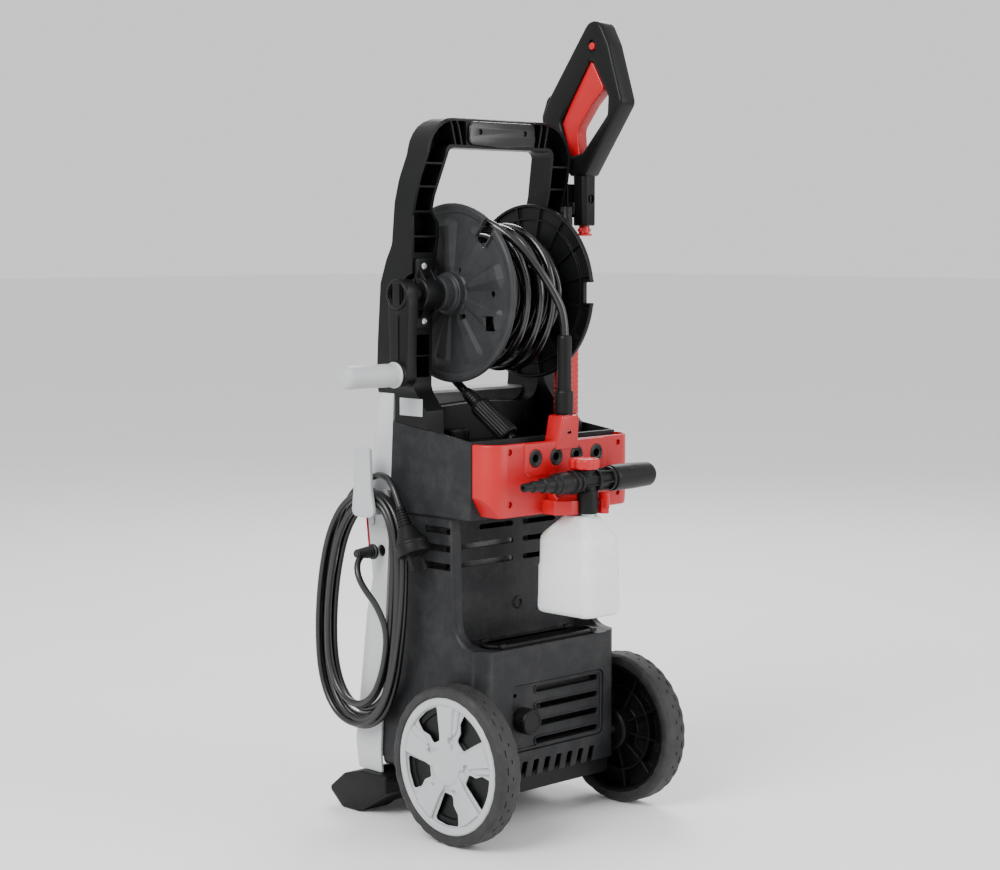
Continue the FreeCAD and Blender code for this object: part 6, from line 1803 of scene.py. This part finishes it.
def grille():
    """Panel in its frame: four long slots, small hole, ribbed seat for the inlet."""
    panel = slab("Y", rect((-90.0, 70.0), (88.0, 174.0), 8.0), 10.7, 13.7, bevel=0.4)
    frame_bar = slab("Y", rect((-85.2, 65.2), (92.8, 169.2), 7.4), 12.6, 15.6,
                     [rect((-82.0, 62.0), (96.0, 166.0), 5.0)], bevel=0.8)
    cuts = long_slots([((-78.0, 26.0), z) for z in GRILLE_Z], 5.0, 20.0, 7.2)
    cuts += [disc("Y", INLET, 11.3, 0.0, 20.0, 0.2, segments=48),
             disc("Y", (58.0, 158.0), 2.6, 0.0, 20.0, 0.2, segments=24)]
    lips = [slab("Y", rect((-79.6, 27.6), (z - 5.2, z + 5.2), 5.1), 13.2, 15.4,
                 [rect((-78.0, 26.0), (z - 3.6, z + 3.6), 3.5)], bevel=0.5) for z in GRILLE_Z]
    return merged([carved(panel, cuts), frame_bar, *lips])


def basket():
    """Cup with a lip, open at the top, with two pale-edged catch tabs."""
    x, y = BASKET
    cup = slab("Z", stadium(x, y, -0.4), 154.0, 216.6, bevel=0.6)
    lip = slab("Z", stadium(x, y, 2.8), 214.4, 217.8, bevel=0.9, rounds=3)
    room = slab("Z", stadium(x, y, -2.4), 156.0, 240.0, bevel=0.05)
    tabs = [slab("Z", rect((a, a + 11.0), (y[0] - 3.6, y[0] + 2.6), 1.4), 214.6, 219.6,
                 bevel=0.8) for a in (-74.0, 63.0)]
    tabs += [slab("Z", rect((a, a + 9.0), (y[1] - 2.2, y[1] + 3.4), 1.4), 214.6, 219.0,
                  bevel=0.8) for a in (-79.0, 70.0)]
    return merged([carved(cup, [room]), carved(lip, [room]), *tabs])


def ribbed_plug():
    """Inlet plug with a knurled skirt and a recessed face."""
    def knurl(angle, along):
        return 1.0 if along < 18.0 or along > 30.5 else 1.0 - 0.05 * (0.5 + 0.5 * math.cos(angle * 20))

    low, high = 15.0, 33.0
    return lathe("Y", INLET, [(0.0, low), (14.0, low, 0.8), (15.0, low + 2.0, 0.8), (15.0, high - 2.4, 0.8),
                                      (13.6, high, 1.2), (11.4, high, 0.6), (10.8, high - 1.0, 0.4),
                                      (0.0, high - 1.0)], 120, knurl)


class WASHER_OT_body(Operator):
    """Builds the rear housing, its grille, the basket, the inlet plug and the tank cap"""
    bl_idname = "washer.body"
    bl_label = "Body"

    def execute(self, context):
        put("housing", housing(), ["body_grey"], "machine", ("rear_housing",), "body_grey", crease=40.0)
        put("grille", grille(), ["body_grey"], "machine", ("rear_grille",), "body_grey")
        put("basket", basket(), ["black_plastic"], "machine", ("bottle_basket",), "body_grey")
        plug = merged([ribbed_plug(), disc("Y", INLET, 7.9, 1.0, 16.0, 0.6, segments=40)])
        put("ribbed_inlet_plug", plug, ["black_plastic"], "inlet_plug", ("inlet_plug",), "black_plastic")

        def grip(angle, along):
            return 1.0 if along < 444.6 or along > 454.0 else 1.0 - 0.045 * (0.5 + 0.5 * math.cos(angle * 24))

        cap = lathe("Z", TANK_CAP, [(0.0, 443.3), (15.0, 443.3, 0.6), (15.0, 454.6, 1.2), (13.8, 456.3, 0.8),
                                         (11.6, 456.3, 0.6), (11.0, 455.2, 0.4), (0.0, 455.2)], 144, grip)
        stem = disc("Z", TANK_CAP, 9.4, 437.4, 444.0, 0.4, segments=48)
        put("ribbed_tank_cap", merged([cap, stem]), ["black_plastic"], "tank_cap", ("tank_cap",),
            "black_plastic")
        put("outlet_sleeve", self.sleeve(), ["black_plastic", "rubber"], "machine", ("hose_connector",),
            "black_plastic")
        put("cord_hook", self.hook(), ["light_grey"], "machine", ("cable_hook",), "light_grey")
        badge = block((118.1, 118.9), (-112.0, -74.0), (474.0, 494.0), 0.0, 0.3)
        put("blank_plate", badge, ["light_grey"], "machine")
        return {"FINISHED"}

    @staticmethod
    def sleeve():
        """Knurled coupling on the outlet and the long smooth sleeve round the hose."""
        def knurl(angle, along):
            return 1.0 if along < 482.0 or along > 499.0 else 1.0 - 0.05 * (0.5 + 0.5 * math.cos(angle * 20))

        nut = lathe("Z", (0.0, OUTLET_Y), [(0.0, 476.5), (9.8, 476.5, 0.8), (10.5, 479.0, 0.6),
                                           (10.5, 501.4, 0.8),
                                           (9.2, 504.0, 1.0), (0.0, 504.0)], 120, knurl)
        sleeve = lathe("Z", (0.0, OUTLET_Y), [(0.0, 503.0), (8.3, 503.0, 0.6), (8.3, 508.0), (7.9, 535.0),
                                              (8.3, 561.0), (8.3, 563.0, 0.6), (7.0, 566.0, 0.8),
                                              (0.0, 566.0)], 56)
        return merged([(nut, 0), (sleeve, 1)])

    @staticmethod
    def hook():
        """Arm and tapered blade that hold the wound cord."""
        arm = block((118.4, 151.0), (-152.0, -133.0), (358.0, 372.0), 1.5, 1.6)
        foot = block((118.3, 121.4), (-155.0, -130.0), (344.0, 386.0), 3.0, 0.9)
        blade = slab("X", [(-161.0, 356.5, 8.0), (-120.0, 356.5, 8.0), (-127.0, 388.0, 14.0),
                           (-129.5, 437.0, 4.0),
                           (-156.5, 437.0, 5.0), (-157.0, 390.0, 20.0)], 145.6, 151.4, bevel=1.8, rounds=3)
        return merged([arm, foot, blade])


# ---- foot and switch ---------------------------------------------------------------------
class WASHER_OT_front(Operator):
    """Builds the foot, the switch with its bezel, and the switch knob"""
    bl_idname = "washer.front"
    bl_label = "Foot and switch"

    def execute(self, context):
        put("foot", self.foot(), ["black_plastic"], "machine", ("foot_bar",), "black_plastic")
        bezel = lathe("Y", SWITCH, [(20.3, -195.4, 0.6), (21.6, -196.0, 0.4), (25.4, -196.0, 1.2),
                                          (27.0, -194.0, 1.0), (27.0, -175.0), (20.3, -175.0)], 96)
        floor = disc("Y", SWITCH, 20.6, -181.6, -176.0, 0.4)
        case = block((-30.0, 30.0), (-176.0, -150.0), (368.0, 432.0), 3.0, 1.5)
        put("switch_bezel", merged([bezel, floor, case]), ["black_plastic"], "machine", ("power_switch",),
            "black_plastic")

        def scallop(angle, along):
            return 1.0 if along > -190.0 else 1.0 - 0.05 * (0.5 + 0.5 * math.cos(angle * 12)) ** 2

        knob = lathe("Y", SWITCH, [(0.0, -206.0), (15.4, -206.0, 1.4), (18.3, -203.0, 1.5), (18.3, -182.3),
                                         (0.0, -182.3)], 120, scallop)
        grip = slab("X", [(-212.0, 385.0, 3.0), (-212.0, 415.0, 3.0), (-204.0, 417.0), (-204.0, 383.0)],
                    -4.0, 4.0,
                    bevel=1.2, rounds=3)
        stem = disc("Y", SWITCH, 5.0, -183.0, -175.3, 0.4, segments=32)
        put("switch_dial", merged([(knob, 0), (grip, 0), (stem, 0)]), ["red"], "switch_knob",
            ("switch_knob",), "red")
        return {"FINISHED"}

    @staticmethod
    def foot():
        """Bar with a sloped toe, a raised arch between two pads and shallow grooves."""
        side = [(-233.0, 20.0, 5.0), (-209.0, 0.0, 8.0), (-178.0, 0.0, 8.0), (-129.0, 30.0, 1.0),
                (-129.0, 50.5, 1.0),
                (-174.0, 50.5, 10.0), (-205.0, 42.0, 10.0)]
        bar = slab("X", side, -128.0, 128.0, bevel=2.4, rounds=3)
        cuts = [slab("Y", [(-82.0, -20.0), (82.0, -20.0), (82.0, 10.0, 3.0), (-82.0, 10.0, 3.0)], -260.0,
                     -100.0,
                     bevel=0.05)]
        for x in (-116.0, -108.0, 108.0, 116.0):
            cuts.append(slab("X", [(-240.0, 28.0), (-205.0, 41.0), (-174.0, 49.5), (-150.0, 49.5),
                                   (-150.0, 60.0),
                                   (-240.0, 60.0)], x - 0.8, x + 0.8, bevel=0.05))
        return carved(bar, cuts)


# ---- sidebar and registration ------------------------------------------------------------
class WASHER_PT_panel(Panel):
    """Lists the settings and every step of the build"""
    bl_idname = "WASHER_PT_panel"
    bl_label = "Pressure washer"
    bl_space_type = "VIEW_3D"
    bl_region_type = "UI"
    bl_category = "Washer"

    def draw(self, context):
        column = self.layout.column()
        for name in ("body", "reel", "black", "light", "cover", "accent", "tyre"):
            column.prop(context.scene.washer_colours, name)
        for name in ("cord", "hose", "lugs"):
            column.prop(context.scene.washer_sizes, name)
        for step in STEPS:
            column.operator(step.bl_idname)


STEPS = [value for name, value in list(globals().items()) if name.startswith("WASHER_OT_")]
CLASSES = [WasherColours, WasherSizes, *STEPS, WASHER_PT_panel]


def register():
    for item in CLASSES:
        bpy.utils.register_class(item)
    bpy.types.Scene.washer_colours = PointerProperty(type=WasherColours)
    bpy.types.Scene.washer_sizes = PointerProperty(type=WasherSizes)


def unregister():
    del bpy.types.Scene.washer_sizes
    del bpy.types.Scene.washer_colours
    for item in reversed(CLASSES):
        bpy.utils.unregister_class(item)


def main():
    register()
    for step in STEPS:
        group, name = step.bl_idname.split(".")
        getattr(getattr(bpy.ops, group), name)()
    with open("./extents.json", "w") as sizes:
        json.dump({"cad": CAD_BOX, "visual": [list(corner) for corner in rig.bounds()]}, sizes)


if __name__ == "__main__":
    main()
